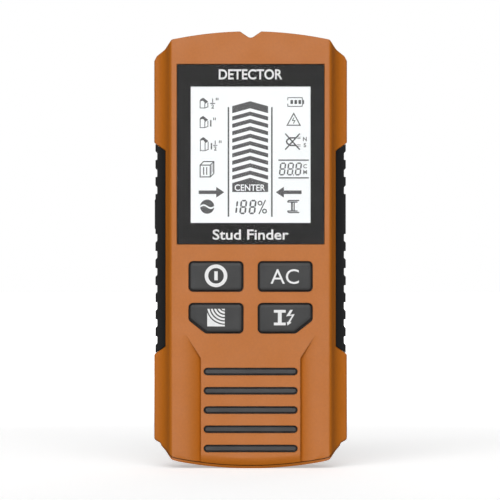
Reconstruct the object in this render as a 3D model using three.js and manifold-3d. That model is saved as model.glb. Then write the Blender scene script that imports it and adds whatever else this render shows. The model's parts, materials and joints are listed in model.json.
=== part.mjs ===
// Handheld stud finder (wall scanner): two moulded casings with rubber side grips, a framed display,
// four front keys, a side key, a slotted lower panel and a hinged battery door on the back.
// Millimetres, +Z up. The scanner stands upright: its front faces -Y and its back, which glides over
// the wall, faces +Y. The origin is the centre of its footprint.
import * as THREE from "three";
import { mergeVertices } from "three/addons/utils/BufferGeometryUtils.js";
import { ConvexGeometry } from "three/addons/geometries/ConvexGeometry.js";
import Module from "manifold-3d";

const wasm = await Module();
wasm.setup();

// ---------------------------------------------------------------- driving dimensions

const HALF_WIDTH = 41;
const TOP_Z = 185.2;
const END_RADIUS = 162; // the arched top and bottom edges
const FOOT_HALF = 4; // half the flat at the middle of the bottom arc

const FRONT_Y = -16; // flat front face
const PARTING_Y = -8; // front casing ahead of it, rear casing behind it
const BACK_Y = 15.4; // flat back face
const PAD_Y = 16; // face of the glide pads
const FRONT_LIFT = 1.4; // the front casing stops this far above the rear casing's bottom edge

const SEAT_GAP = 0.1; // between pieces that rest on each other
const FIT_GAP = 0.3; // around pieces let into a recess

const SKIN_Y = -13.4; // inner face of the front wall
const BACK_SKIN_Y = 13.2; // inner face of the back wall
const CAVITY_HALF = 36.3;

// Display window and the stack behind it.
const WINDOW = { half: 31.3, bottom: 94.85, top: 171.3, depth: 1.1 };
const VIEW = { half: 25.4, bottom: 104, top: 161.8 };
const LCD_BACK_Y = -12.4;
const LCD_RIM = 1.6; // the glass reaches this far beyond its visible area
const PCB = { half: 33.2, bottom: 47, top: 171.5, front: -8.6, back: -7 };

// Front keys: two columns, two rows. The lower row has its outer bottom corners cut off.
const KEY = {
  column: 14.65,
  rows: [81.3, 63.6],
  slot: [23.5, 13.2],
  corner: 2.1,
  cut: [7.2, 5.6],
  gap: 0.45,
  proud: 0.9,
  flange: 1.2,
};

const PLUNGER = { radius: 1.6, tip: -10.3 };
const SWITCH = { half: 3, front: -11.3, bore: 1.9, bottom: -9.3 };

// Side key on the left, between the grip's ribs.
const SIDE_KEY = { z: 107.8, length: 13, y: -2.2, width: 6.4, face: -40.9 };

// Slotted lower panel with its dark inlay.
const GRILLE = { count: 5, firstZ: 8.4, pitch: 8.15, half: 19.9, height: 3.2 };

// Side grips: L-shaped rubber bands with ribs.
const GRIP = {
  face: 40.5,
  inner: 36.3,
  bottom: 48.7,
  top: 137.6,
  slope: 3,
  thickness: 1.9,
  back: 9,
  recess: 39.6, // the rear casing stays inside this behind a grip, so the ribs stand clear
  groove: [0.77, 2.9],
  upper: [132.3, 125.05, 117.8],
  lowerFirst: 97.9,
  lowerCount: 7,
  pitch: 7.26,
};

// Screws, the posts that take them and the holes they pass through. Their places are in the front view.
const CASE_SCREW = { head: 2.7, headHeight: 2, shank: 1.3, length: 14, seat: 9 };
const CASE_POST = { front: 3.2, rear: 4.6, end: 2, pilot: 1.5, pilotEnd: -6.5, hole: 1.6, counterbore: 3.1 };
const BOARD_SCREW = { head: 1.8, headHeight: 1.2, shank: 0.9, length: 4.6 };
const BOARD_POST = { radius: 1.9, pilot: 1.1, pilotEnd: -13, hole: 1.3 };
const CASE_SCREWS = [
  [-27, 176],
  [27, 176],
  [-28, 10.5],
  [28, 10.5],
];
const PCB_SCREWS = [
  [-30.9, 168],
  [30.9, 168],
  [-30.9, 51],
  [30.9, 51],
];

// Battery, its well and the hinged door.
const SENSOR_BOARD = { size: [62, 72], centre: [0, 134], front: 10.6, back: 12.2 };
const BATTERY = { size: [26.5, 17.5, 46.4], bottom: 12.2, front: -4.9, terminals: 6.35 };
const WELL = { half: 14.2, wall: 1.8, bottom: 11.6, top: 65.5, floor: -5.1 };
const DOOR = {
  half: 15.5,
  bottom: 10,
  inner: 13.3,
  hingeY: 13.7,
  hingeZ: 65.3,
  barrel: 1.7,
  pin: 1.05,
  pinReach: 1.8,
  lug: { x: 17.2, half: 1.4, height: 3.1, front: 10.9 },
};

// ---------------------------------------------------------------- materials

const plastic = (color, roughness = 0.5) => new THREE.MeshStandardMaterial({ color, roughness });
const metal = (color) => new THREE.MeshStandardMaterial({ color, roughness: 0.3, metalness: 1 });

const MATERIAL = {
  casing: plastic(0xc07c4b, 0.45),
  rubber: plastic(0x2a2a2a, 0.8),
  key: plastic(0x4a4a4a, 0.6),
  mask: plastic(0x2e2f31, 0.4),
  lens: new THREE.MeshStandardMaterial({
    color: 0xffffff,
    roughness: 0.05,
    transparent: true,
    opacity: 0.25,
  }),
  display: plastic(0xf7fafa, 0.3),
  frame: plastic(0xe6e4dc, 0.6),
  board: plastic(0x1f6b3a, 0.5),
  chip: plastic(0x1b1b1d, 0.5),
  felt: plastic(0x202022, 0.95),
  label: plastic(0xb9bcbf, 0.4),
  steel: metal(0xb8bcc2),
  copper: metal(0xb06a3a),
  battery: plastic(0x2f3134, 0.35),
  leadRed: plastic(0xb3261e, 0.6),
  leadBlack: plastic(0x161616, 0.6),
};

// ---------------------------------------------------------------- shape helpers

/** A closed solid made from any three.js geometry. */
function solidOf(geometry) {
  const bare = geometry.clone();
  bare.deleteAttribute("normal");
  bare.deleteAttribute("uv");
  const merged = mergeVertices(bare, 1e-4);
  const vertProperties = merged.attributes.position.array;
  const triVerts = new Uint32Array(merged.index.array);
  return new wasm.Manifold(new wasm.Mesh({ numProp: 3, vertProperties, triVerts }));
}

/** The geometry of a solid. */
function geometryOf(solid) {
  const { vertProperties, triVerts } = solid.getMesh();
  const geometry = new THREE.BufferGeometry();
  geometry.setAttribute("position", new THREE.BufferAttribute(new Float32Array(vertProperties), 3));
  geometry.setIndex(new THREE.BufferAttribute(new Uint32Array(triVerts), 1));
  geometry.computeVertexNormals();
  return geometry;
}

/** A named mesh of a solid or a geometry. */
function piece(name, shape, material) {
  const mesh = new THREE.Mesh(shape.isBufferGeometry ? shape : geometryOf(shape), material);
  mesh.name = name;
  return mesh;
}

const extrude = (points, depth) =>
  new THREE.ExtrudeGeometry(new THREE.Shape(points), { depth, bevelEnabled: false });

/** Prism of an outline drawn in the front view (x, z), from y0 to y1. */
const frontPrism = (points, y0, y1) =>
  solidOf(extrude(points, y1 - y0).rotateX(Math.PI / 2).translate(0, y1, 0));

/** Prism of a section drawn in plan (x, y), from z0 to z1. */
const planPrism = (points, z0, z1) => solidOf(extrude(points, z1 - z0).translate(0, 0, z0));

/** Prism of a profile drawn from the side (y, z), from x0 to x1. */
function sidePrism(points, x0, x1) {
  const alongX = new THREE.Matrix4().makeBasis(
    new THREE.Vector3(0, 1, 0),
    new THREE.Vector3(0, 0, 1),
    new THREE.Vector3(1, 0, 0),
  );
  return solidOf(extrude(points, x1 - x0).applyMatrix4(alongX).translate(x0, 0, 0));
}

/** Box between two values on each axis. */
const block = ([x0, x1], [y0, y1], [z0, z1]) =>
  solidOf(
    new THREE.BoxGeometry(x1 - x0, y1 - y0, z1 - z0).translate((x0 + x1) / 2, (y0 + y1) / 2, (z0 + z1) / 2),
  );

/** Round rod along Y through (x, z). */
const rodY = (radius, y0, y1, [x, z] = [0, 0], sides = 16) =>
  solidOf(new THREE.CylinderGeometry(radius, radius, y1 - y0, sides).translate(x, (y0 + y1) / 2, z));

/** Round rod along X through (y, z). */
const rodX = (radius, x0, x1, [y, z], sides = 16) =>
  solidOf(
    new THREE.CylinderGeometry(radius, radius, x1 - x0, sides)
      .rotateZ(Math.PI / 2)
      .translate((x0 + x1) / 2, y, z),
  );

const join = (...solids) => solids.reduce((sum, solid) => sum.add(solid));
const cut = (body, ...tools) => tools.reduce((rest, tool) => rest.subtract(tool), body);

const points = (pairs) => pairs.map(([x, y]) => new THREE.Vector2(x, y));

/** Polygon of corners [x, y, radius], each rounded with an arc of its own radius. */
function rounded(corners, stepDegrees = 30) {
  const count = corners.length;
  return corners.flatMap(([x, y, radius = 0], i) => {
    const here = new THREE.Vector2(x, y);
    if (!radius) return [here];
    const toward = ([ax, ay]) => new THREE.Vector2(ax, ay).sub(here).normalize();
    const u = toward(corners[(i + count - 1) % count]);
    const v = toward(corners[(i + 1) % count]);
    const half = Math.acos(u.dot(v)) / 2;
    const centre = u.clone().add(v).normalize().multiplyScalar(radius / Math.sin(half)).add(here);
    const start = u.multiplyScalar(radius / Math.tan(half)).add(here).sub(centre);
    const end = v.multiplyScalar(radius / Math.tan(half)).add(here).sub(centre);
    const sweep = Math.atan2(start.cross(end), start.dot(end));
    const steps = Math.max(1, Math.ceil(Math.abs(sweep) / THREE.MathUtils.degToRad(stepDegrees)));
    return Array.from({ length: steps + 1 }, (_, k) =>
      start.clone().rotateAround(new THREE.Vector2(), (sweep * k) / steps).add(centre),
    );
  });
}

/** Rectangle centred on (x, z) with rounded corners. */
const roundedBox = ([width, height], radius, [x, z] = [0, 0], step = 30) =>
  rounded(
    [
      [x - width / 2, z - height / 2, radius],
      [x + width / 2, z - height / 2, radius],
      [x + width / 2, z + height / 2, radius],
      [x - width / 2, z + height / 2, radius],
    ],
    step,
  );

/** Half an outline (x >= 0, from the top down) closed by its own mirror image. */
function mirrored(half) {
  const offCentre = half.filter(([x]) => x > 0);
  return [...half, ...offCentre.reverse().map(([x, ...rest]) => [-x, ...rest])];
}

// ---------------------------------------------------------------- outlines

/** Height lost along the end arcs at a distance x from the centre line. */
const sag = (x) => END_RADIUS - Math.sqrt(END_RADIUS ** 2 - x ** 2);
const footHeight = (x) => sag(x) - sag(FOOT_HALF);

/** Front view of a casing whose bottom edge is raised by lift: marking notch, stepped shoulders, arcs. */
function casingOutline(lift) {
  const half = [
    [0, 182.05, 2],
    [4.5, TOP_Z - sag(4.5), 0.4],
    ...[11.5, 19, 26.5].map((x) => [x, TOP_Z - sag(x)]),
    [33.5, TOP_Z - sag(33.5), 1.5],
    [36.4, 177.6, 3],
    [39.9, 174.95, 1.2],
    [HALF_WIDTH, 172.9, 1],
    [HALF_WIDTH, 11.9 + 0.7 * lift, 1.2],
    [38.9, 9.9 + 0.7 * lift, 1],
    [36.4 - 0.7 * lift, 7.4 + 0.4 * lift, 3],
    [33.3, 3.7 + lift, 1.5],
    ...[26.5, 19, 11.5, FOOT_HALF].map((x) => [x, footHeight(x) + lift]),
  ];
  return rounded(mirrored(half));
}

/** Front view of the hollow inside both casings. */
const cavityOutline = () =>
  points(
    mirrored([
      [31.2, 179.8],
      [34, 176.2],
      [CAVITY_HALF, 174.4],
      [CAVITY_HALF, 14.6],
      [33.8, 9.8],
      [31, 7],
      [22, 4.6],
    ]),
  );

/** Plan section of the front face: flat centre, chamfer, then a cove that runs out to a flat wing. */
function frontSection() {
  const coveSteps = 6;
  const cove = Array.from({ length: coveSteps + 1 }, (_, k) => {
    const angle = ((Math.PI / 2) * k) / coveSteps;
    return [40.2 - 6 * Math.cos(angle), -15.2 + 4.8 * Math.sin(angle)];
  });
  return [[32.6, FRONT_Y], ...cove, [HALF_WIDTH, -9.6]];
}

const frontSkin = () => points(mirrored([...frontSection(), [HALF_WIDTH, PARTING_Y]]));
const frontHollow = () =>
  points(
    mirrored([
      [31.5, SKIN_Y],
      [33.2, -12],
      [33.8, PARTING_Y + 1],
    ]),
  );

/** Plan section of the rear casing: straight sides, rounded back corners. */
const rearSkin = () =>
  rounded(
    mirrored([
      [HALF_WIDTH, PARTING_Y + SEAT_GAP],
      [HALF_WIDTH, BACK_Y, 7.4],
    ]),
    18,
  );
const rearHollow = () =>
  points(
    mirrored([
      [33.8, PARTING_Y - 1],
      [33.8, -7.5],
      [CAVITY_HALF, -6.5],
      [CAVITY_HALF, 10.4],
      [33.6, BACK_SKIN_Y],
    ]),
  );

/** Front view of a key slot; a lower key has one bottom corner cut off on its outer side. */
function keyOutline(side, lower, grow) {
  const [width, height] = KEY.slot;
  const right = width / 2 + grow;
  const top = height / 2 + grow;
  const radius = KEY.corner + grow;
  const outer = lower
    ? [
        [right - KEY.cut[0], -top, 1.2],
        [right, -top + KEY.cut[1], 1.2],
      ]
    : [[right, -top, radius]];
  const corners = [[-right, -top, radius], ...outer, [right, top, radius], [-right, top, radius]];
  return rounded(side > 0 ? corners : corners.map(([x, z, r]) => [-x, z, r]).reverse());
}

const shifted = (outline, [x, z]) => outline.map((p) => new THREE.Vector2(p.x + x, p.y + z));
const keySpots = [-1, 1].flatMap((side) =>
  KEY.rows.map((z, row) => ({ side, lower: row === 1, at: [side * KEY.column, z] })),
);
const grilleRows = Array.from({ length: GRILLE.count }, (_, k) => GRILLE.firstZ + k * GRILLE.pitch);

// ---------------------------------------------------------------- grips

/** Space for a grip, on the right-hand side, with a gap to the casings; behind it the casing is recessed. */
function gripEnvelope(gap) {
  const section = points([
    ...frontSection().filter(([x]) => x > GRIP.inner - gap),
    [HALF_WIDTH + gap * 4, -9.6],
    [HALF_WIDTH + gap * 4, BACK_Y + gap],
    [GRIP.recess, BACK_Y + gap],
    [GRIP.recess, GRIP.back + gap],
    [GRIP.face - GRIP.thickness - gap, GRIP.back + gap],
    [GRIP.face - GRIP.thickness - gap, -8.2 + gap],
    [GRIP.inner - gap, -9.2 + gap],
    [GRIP.inner - gap, -14],
  ]);
  const outline = points([
    [GRIP.inner - gap, GRIP.bottom + GRIP.slope - gap],
    [GRIP.face, GRIP.bottom - gap],
    [GRIP.face + gap * 8, GRIP.bottom - gap * 7],
    [GRIP.face + gap * 8, GRIP.top + gap * 7],
    [GRIP.face, GRIP.top + gap],
    [GRIP.inner - gap, GRIP.top - GRIP.slope + gap],
  ]);
  return planPrism(section, 0, TOP_Z).intersect(frontPrism(outline, -20, 20));
}

const grooveHeights = [
  ...GRIP.upper,
  ...Array.from({ length: GRIP.lowerCount }, (_, k) => GRIP.lowerFirst - k * GRIP.pitch),
];

/** One ribbed grip, on the right-hand side. */
function gripSolid() {
  const section = points([
    ...frontSection().filter(([x]) => x > GRIP.inner && x < GRIP.face),
    [GRIP.face, -9.8],
    [GRIP.face, GRIP.back],
    [GRIP.face - GRIP.thickness, GRIP.back],
    [GRIP.face - GRIP.thickness, -8.2],
    [GRIP.inner, -9.2],
  ]);
  const outline = points([
    [GRIP.inner, GRIP.bottom + GRIP.slope],
    [GRIP.face, GRIP.bottom],
    [GRIP.face, GRIP.top],
    [GRIP.inner, GRIP.top - GRIP.slope],
  ]);
  const band = planPrism(section, 0, TOP_Z).intersect(frontPrism(outline, -20, 20));
  const [depth, height] = GRIP.groove;
  const grooves = grooveHeights.map((z) =>
    block([GRIP.face - depth, HALF_WIDTH + 1], [-12, GRIP.back + 1], [z - height / 2, z + height / 2]),
  );
  return cut(band, ...grooves);
}

const mirrorX = (solid) => solid.mirror([1, 0, 0]);
const sideKeyHole = (gap, x0, x1) =>
  block(
    [x0, x1],
    [SIDE_KEY.y - SIDE_KEY.width / 2 - gap, SIDE_KEY.y + SIDE_KEY.width / 2 + gap],
    [SIDE_KEY.z - SIDE_KEY.length / 2 - gap, SIDE_KEY.z + SIDE_KEY.length / 2 + gap],
  );

function grips() {
  const right = gripSolid();
  const left = cut(mirrorX(right), sideKeyHole(FIT_GAP, -HALF_WIDTH - 1, -CAVITY_HALF));
  return [piece("left_grip", left, MATERIAL.rubber), piece("right_grip", right, MATERIAL.rubber)];
}

// ---------------------------------------------------------------- casings

/** Shallow thumb scoop beside the slotted panel, deepest along the panel's edge. */
function thumbScoop(side) {
  const rim = [
    [21.1, 46.7],
    [26.7, 55.7],
    [32.2, 50],
    [32.2, -1],
    [21.1, -1],
  ].map(([x, z]) => new THREE.Vector3(side * x, FRONT_Y, z));
  const bed = [44, -1].map((z) => new THREE.Vector3(side * 21.1, FRONT_Y + 1.2, z));
  return solidOf(new ConvexGeometry([...rim, ...bed]));
}

function frontCasing() {
  const skin = planPrism(frontSkin(), -1, TOP_Z + 1).intersect(
    frontPrism(casingOutline(FRONT_LIFT), FRONT_Y - 1, PARTING_Y + 1),
  );
  const hollow = planPrism(frontHollow(), 0, TOP_Z).intersect(frontPrism(cavityOutline(), SKIN_Y, 0));
  const posts = [
    ...CASE_SCREWS.map((at) => rodY(CASE_POST.front, SKIN_Y - 0.5, CASE_POST.end, at)),
    ...PCB_SCREWS.map((at) => rodY(BOARD_POST.radius, SKIN_Y - 0.5, PCB.front - SEAT_GAP, at, 12)),
  ];
  const pilots = [
    ...CASE_SCREWS.map((at) => rodY(CASE_POST.pilot, CASE_POST.pilotEnd, CASE_POST.end + 1, at, 12)),
    ...PCB_SCREWS.map((at) => rodY(BOARD_POST.pilot, BOARD_POST.pilotEnd, 0, at, 12)),
  ];
  const windowCentre = (WINDOW.bottom + WINDOW.top) / 2;
  const windowSeat = frontPrism(
    roundedBox([2 * WINDOW.half, WINDOW.top - WINDOW.bottom], 0.6, [0, windowCentre]),
    FRONT_Y - 1,
    FRONT_Y + WINDOW.depth,
  );
  const rim = LCD_RIM + FIT_GAP;
  const viewHole = block(
    [-VIEW.half - rim, VIEW.half + rim],
    [-20, -10],
    [VIEW.bottom - rim, VIEW.top + rim],
  );
  const keyHoles = keySpots.map(({ side, lower, at }) =>
    frontPrism(shifted(keyOutline(side, lower, 0), at), -20, -10),
  );
  const slots = grilleRows.map((z) =>
    frontPrism(roundedBox([2 * GRILLE.half, GRILLE.height], GRILLE.height / 2 - 0.01, [0, z]), -20, -10),
  );
  const gripSeat = gripEnvelope(FIT_GAP);
  return cut(
    join(skin.subtract(hollow), ...posts),
    ...pilots,
    windowSeat,
    viewHole,
    ...keyHoles,
    ...slots,
    gripSeat,
    mirrorX(gripSeat),
    thumbScoop(1),
    thumbScoop(-1),
  );
}

function rearCasing() {
  const sideProfile = rounded(
    [
      [PARTING_Y + SEAT_GAP, -1],
      [9.4, -1],
      [BACK_Y, 5.5, 5],
      [BACK_Y, 179.5, 5],
      [9.4, 186],
      [PARTING_Y + SEAT_GAP, 186],
    ],
    18,
  );
  const skin = planPrism(rearSkin(), -1, TOP_Z + 1)
    .intersect(frontPrism(casingOutline(0), PARTING_Y - 1, BACK_Y + 1))
    .intersect(sidePrism(sideProfile, -50, 50));
  const hollow = planPrism(rearHollow(), 0, TOP_Z).intersect(
    frontPrism(cavityOutline(), PARTING_Y - 1, BACK_SKIN_Y),
  );
  const wellOuter = WELL.half + WELL.wall;
  const well = block(
    [-wellOuter, wellOuter],
    [WELL.floor - 1.2, BACK_SKIN_Y + 0.5],
    [WELL.bottom - WELL.wall, WELL.top + WELL.wall],
  );
  const hingeLugs = [-1, 1].map((side) =>
    block(
      [side * DOOR.lug.x - DOOR.lug.half, side * DOOR.lug.x + DOOR.lug.half],
      [DOOR.lug.front, BACK_SKIN_Y + 0.3],
      [DOOR.hingeZ - DOOR.lug.height, DOOR.hingeZ + DOOR.lug.height],
    ),
  );
  const screwPosts = CASE_SCREWS.map((at) =>
    rodY(CASE_POST.rear, CASE_POST.end + SEAT_GAP, BACK_SKIN_Y + 0.5, at, 20),
  );
  const boardPosts = [-1, 1].flatMap((side) =>
    [104, 164].map((z) => rodY(1.8, SENSOR_BOARD.back + SEAT_GAP, BACK_SKIN_Y + 0.5, [side * 26, z], 12)),
  );
  const body = join(skin.subtract(hollow), well, ...hingeLugs, ...screwPosts, ...boardPosts);

  const wellHollow = block([-WELL.half, WELL.half], [WELL.floor, 20], [WELL.bottom, WELL.top]);
  const doorway = block(
    [-DOOR.half - FIT_GAP, DOOR.half + FIT_GAP],
    [DOOR.inner - SEAT_GAP, 20],
    [DOOR.bottom - FIT_GAP, DOOR.hingeZ + DOOR.barrel + FIT_GAP],
  );
  const hinge = [DOOR.hingeY, DOOR.hingeZ];
  const barrelSeat = rodX(DOOR.barrel + 0.4, -DOOR.half - FIT_GAP, DOOR.half + FIT_GAP, hinge, 24);
  const pinHoleEnd = DOOR.half + DOOR.pinReach + 0.5;
  const pinHoles = rodX(DOOR.pin + FIT_GAP, -pinHoleEnd, pinHoleEnd, hinge, 16);
  const leadSlot = block([-5.5, 5.5], [2, 6], [WELL.top - 1, WELL.top + WELL.wall + 1]);
  const fingerNotch = rodY(6, BACK_Y - 1.3, 20, [0, DOOR.bottom + 1.6], 24);
  const screwHoles = CASE_SCREWS.flatMap((at) => [
    rodY(CASE_POST.hole, 0, 20, at, 12),
    rodY(CASE_POST.counterbore, CASE_SCREW.seat, 20, at, 20),
  ]);
  const padSeats = glidePads.map(({ size, at }) =>
    frontPrism(roundedBox([size[0] + 0.4, size[1] + 0.4], 2.2, at), BACK_Y - 0.3, 20),
  );
  const gripSeat = gripEnvelope(FIT_GAP);
  return cut(
    body,
    wellHollow,
    doorway,
    barrelSeat,
    pinHoles,
    leadSlot,
    fingerNotch,
    ...screwHoles,
    ...padSeats,
    gripSeat,
    mirrorX(gripSeat),
    sideKeyHole(FIT_GAP, -HALF_WIDTH - 1, -CAVITY_HALF + 1),
  );
}

const glidePads = [
  { name: "glide_pad_upper", size: [60, 12], at: [0, 158] },
  { name: "glide_pad_left", size: [9, 38], at: [-25.5, 41] },
  { name: "glide_pad_right", size: [9, 38], at: [25.5, 41] },
];

function casings() {
  return [
    piece("front_casing", frontCasing(), MATERIAL.casing),
    piece("rear_casing", rearCasing(), MATERIAL.casing),
  ];
}

function backTrim() {
  const pads = glidePads.map(({ name, size, at }) =>
    piece(name, frontPrism(roundedBox(size, 2, at), BACK_Y - 0.2, PAD_Y), MATERIAL.felt),
  );
  const label = frontPrism(roundedBox([44, 34], 2, [0, 108]), BACK_Y + 0.05, BACK_Y + 0.2);
  return [...pads, piece("rating_label", label, MATERIAL.label)];
}

// ---------------------------------------------------------------- display

function display() {
  const windowCentre = (WINDOW.bottom + WINDOW.top) / 2;
  const lensSize = [2 * WINDOW.half - 0.2, WINDOW.top - WINDOW.bottom - 0.2];
  const viewBlock = (grow, y0, y1) =>
    block([-VIEW.half - grow, VIEW.half + grow], [y0, y1], [VIEW.bottom - grow, VIEW.top + grow]);
  const floor = FRONT_Y + WINDOW.depth;
  const lens = frontPrism(roundedBox(lensSize, 0.5, [0, windowCentre]), FRONT_Y + 0.05, floor - 0.25);
  const mask = cut(
    frontPrism(roundedBox(lensSize, 0.5, [0, windowCentre]), floor - 0.2, floor - 0.05),
    viewBlock(0, -20, 0),
  );
  const panel = viewBlock(LCD_RIM, floor + 0.05, LCD_BACK_Y);
  const frame = cut(
    viewBlock(LCD_RIM + 1.5, SKIN_Y + 0.2, PCB.front - SEAT_GAP),
    viewBlock(LCD_RIM + FIT_GAP, -20, 0),
  );
  const backlight = block(
    [-VIEW.half - 1.2, VIEW.half + 1.2],
    [LCD_BACK_Y + SEAT_GAP, PCB.front - 0.6],
    [VIEW.bottom + 2.4, VIEW.top + 1.2],
  );
  const connector = block(
    [-24, 24],
    [LCD_BACK_Y + SEAT_GAP, PCB.front - SEAT_GAP],
    [VIEW.bottom - 1.4, VIEW.bottom + 1.2],
  );
  return [
    piece("display_lens", lens, MATERIAL.lens),
    piece("lens_mask", mask, MATERIAL.mask),
    piece("lcd_panel", panel, MATERIAL.display),
    piece("lcd_frame", frame, MATERIAL.frame),
    piece("lcd_backlight", backlight, MATERIAL.display),
    piece("lcd_connector", connector, MATERIAL.rubber),
  ];
}

// ---------------------------------------------------------------- keys and switches

const KEY_NAMES = ["stud", "power", "metal", "ac"];

/** A front key with the plunger of its switch, placed on the key's centre. */
function frontKey(name, { side, lower, at: [x, z] }) {
  const cap = join(
    frontPrism(keyOutline(side, lower, -KEY.gap), FRONT_Y - KEY.proud, SKIN_Y + 0.3),
    frontPrism(keyOutline(side, lower, KEY.flange - KEY.gap), SKIN_Y + 0.2, SKIN_Y + 1.2),
  );
  const plunger = rodY(PLUNGER.radius, SKIN_Y + 1.3, PLUNGER.tip);
  const sides = [-SWITCH.half, SWITCH.half];
  const switchBody = cut(
    block(sides, [SWITCH.front, PCB.front - SEAT_GAP], sides),
    rodY(SWITCH.bore, SWITCH.front - 1, SWITCH.bottom),
  );
  const group = new THREE.Group();
  group.position.set(x, 0, z);
  group.add(
    piece(`key_${name}`, cap, MATERIAL.key),
    piece(`plunger_${name}`, plunger, MATERIAL.frame),
    piece(`switch_${name}`, switchBody, MATERIAL.chip),
  );
  return group;
}

/** The side key, its plunger and the right-angle switch on the back of the board. */
function sideKey() {
  const inside = -CAVITY_HALF + 0.3;
  const cap = join(
    sideKeyHole(0, SIDE_KEY.face, inside + 0.5),
    sideKeyHole(0.6, inside, inside + 1),
  );
  const plungerAxis = [-4.2, SIDE_KEY.z];
  const plunger = rodX(1.3, inside + 1.1, -31, plungerAxis, 12);
  const body = cut(
    block([-33, -28.5], [PCB.back + SEAT_GAP, -1.9], [SIDE_KEY.z - 3, SIDE_KEY.z + 3]),
    rodX(1.6, -34, -30, plungerAxis, 12),
  );
  return [
    piece("key_side", cap, MATERIAL.rubber),
    piece("plunger_side", plunger, MATERIAL.frame),
    piece("switch_side", body, MATERIAL.chip),
  ];
}

const keys = () => {
  const lowerFirst = [...keySpots].sort((a, b) => a.at[0] - b.at[0] || a.at[1] - b.at[1]);
  return [...lowerFirst.map((spot, i) => frontKey(KEY_NAMES[i], spot)), ...sideKey()];
};

/** Dark inlay whose five bars fill the slots of the lower panel. */
function grilleInlay() {
  const plate = block([-22, 22], [SKIN_Y + 0.2, SKIN_Y + 1.4], [5.2, 44.5]);
  const bars = grilleRows.map((z) =>
    frontPrism(
      roundedBox([2 * GRILLE.half - 0.8, GRILLE.height - 0.8], GRILLE.height / 2 - 0.42, [0, z]),
      FRONT_Y + 0.35,
      SKIN_Y + 0.5,
    ),
  );
  return piece("grille_inlay", join(plate, ...bars), MATERIAL.key);
}

// ---------------------------------------------------------------- boards and sensors

function boards() {
  const main = cut(
    frontPrism(
      roundedBox([2 * PCB.half, PCB.top - PCB.bottom], 1.5, [0, (PCB.top + PCB.bottom) / 2]),
      PCB.front,
      PCB.back,
    ),
    ...PCB_SCREWS.map((at) => rodY(BOARD_POST.hole, PCB.front - 1, PCB.back + 1, at, 12)),
  );
  const onBack = PCB.back + SEAT_GAP;
  const buzzer = cut(rodY(6, onBack, onBack + 5, [22, 84], 24), rodY(1, onBack + 4, onBack + 6, [22, 84], 8));
  const sensorBoard = frontPrism(
    roundedBox(SENSOR_BOARD.size, 2, SENSOR_BOARD.centre),
    SENSOR_BOARD.front,
    SENSOR_BOARD.back,
  );
  const ribbonHalf = 0.17;
  const ribbonPath = [
    [onBack + 0.2, 92],
    [-3, 92.3],
    [2, 94],
    [6, 97.6],
    [8.4, 100.6],
    [10.3, 101.4],
  ];
  const ribbonSection = points([
    ...ribbonPath.map(([y, z]) => [y, z + ribbonHalf]),
    ...[...ribbonPath].reverse().map(([y, z]) => [y, z - ribbonHalf]),
  ]);
  return [
    piece("main_pcb", main, MATERIAL.board),
    piece("mcu_chip", block([-25, -15], [onBack, onBack + 1.4], [81, 91]), MATERIAL.chip),
    piece("amplifier_chip", block([-2.5, 2.5], [onBack, onBack + 1.5], [80, 84]), MATERIAL.chip),
    piece("buzzer", buzzer, MATERIAL.chip),
    piece("sensor_board", sensorBoard, MATERIAL.board),
    piece("sensor_ribbon", sidePrism(ribbonSection, -6, 6), MATERIAL.frame),
  ];
}

/** Metal-sensing coil: a grooved bobbin with its winding, both turned about the Y axis. */
function coil() {
  const turn = (profile) => new THREE.LatheGeometry(points([...profile, profile[0]]), 32);
  const bobbin = turn([
    [18, -2.6],
    [23.5, -2.6],
    [23.5, -1.7],
    [19.2, -1.7],
    [19.2, 1.7],
    [23.5, 1.7],
    [23.5, 2.6],
    [18, 2.6],
  ]);
  const winding = turn([
    [19.5, -1.4],
    [23, -1.4],
    [23, 1.4],
    [19.5, 1.4],
  ]);
  const group = new THREE.Group();
  group.position.set(0, 7.8, 134);
  group.add(piece("coil_bobbin", bobbin, MATERIAL.frame), piece("coil_winding", winding, MATERIAL.copper));
  return group;
}

// ---------------------------------------------------------------- battery

function battery() {
  const [width, depth, height] = BATTERY.size;
  const y0 = BATTERY.front;
  const top = BATTERY.bottom + height;
  const midY = y0 + depth / 2;
  const block9v = planPrism(roundedBox([width, depth], 1.5, [0, midY]), BATTERY.bottom, top);
  const terminal = (x, radius, z1, sides) =>
    solidOf(
      new THREE.CylinderGeometry(radius, radius, z1 - top + 1, sides)
        .rotateX(Math.PI / 2)
        .translate(x, midY, (top - 1 + z1) / 2),
    );
  const round = terminal(-BATTERY.terminals, 2.8, top + 2.1, 16);
  const hexagonal = terminal(BATTERY.terminals, 3.1, top + 2.1, 6);
  const cell = join(block9v, round, hexagonal);
  const clip = cut(
    block([-12.7, 12.7], [midY - 6, midY + 5.4], [top + 0.3, top + 4.6]),
    terminal(-BATTERY.terminals, 3.4, top + 2.5, 16),
    terminal(BATTERY.terminals, 3.7, top + 2.5, 16),
  );
  return [piece("battery", cell, MATERIAL.battery), piece("battery_clip", clip, MATERIAL.leadBlack)];
}

/** The two insulated leads from the battery clip to the back of the board. */
function leads() {
  const section = new THREE.Shape(new THREE.EllipseCurve(0, 0, 0.6, 0.6).getPoints(8).slice(0, 8));
  return [
    ["lead_positive", -3, MATERIAL.leadRed],
    ["lead_negative", 3, MATERIAL.leadBlack],
  ].map(([name, x, material]) => {
    const path = new THREE.CatmullRomCurve3(
      [
        [x, 4, 63.4],
        [x, 4, 66.5],
        [x * 1.1, 3.4, 70],
        [x * 1.6, 0, 73.5],
        [x * 2, -4, 74.6],
        [x * 2, -6.6, 74.8],
      ].map((p) => new THREE.Vector3(...p)),
    );
    const options = { steps: 14, extrudePath: path, bevelEnabled: false };
    return piece(name, solidOf(new THREE.ExtrudeGeometry(section, options)), material);
  });
}

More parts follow.
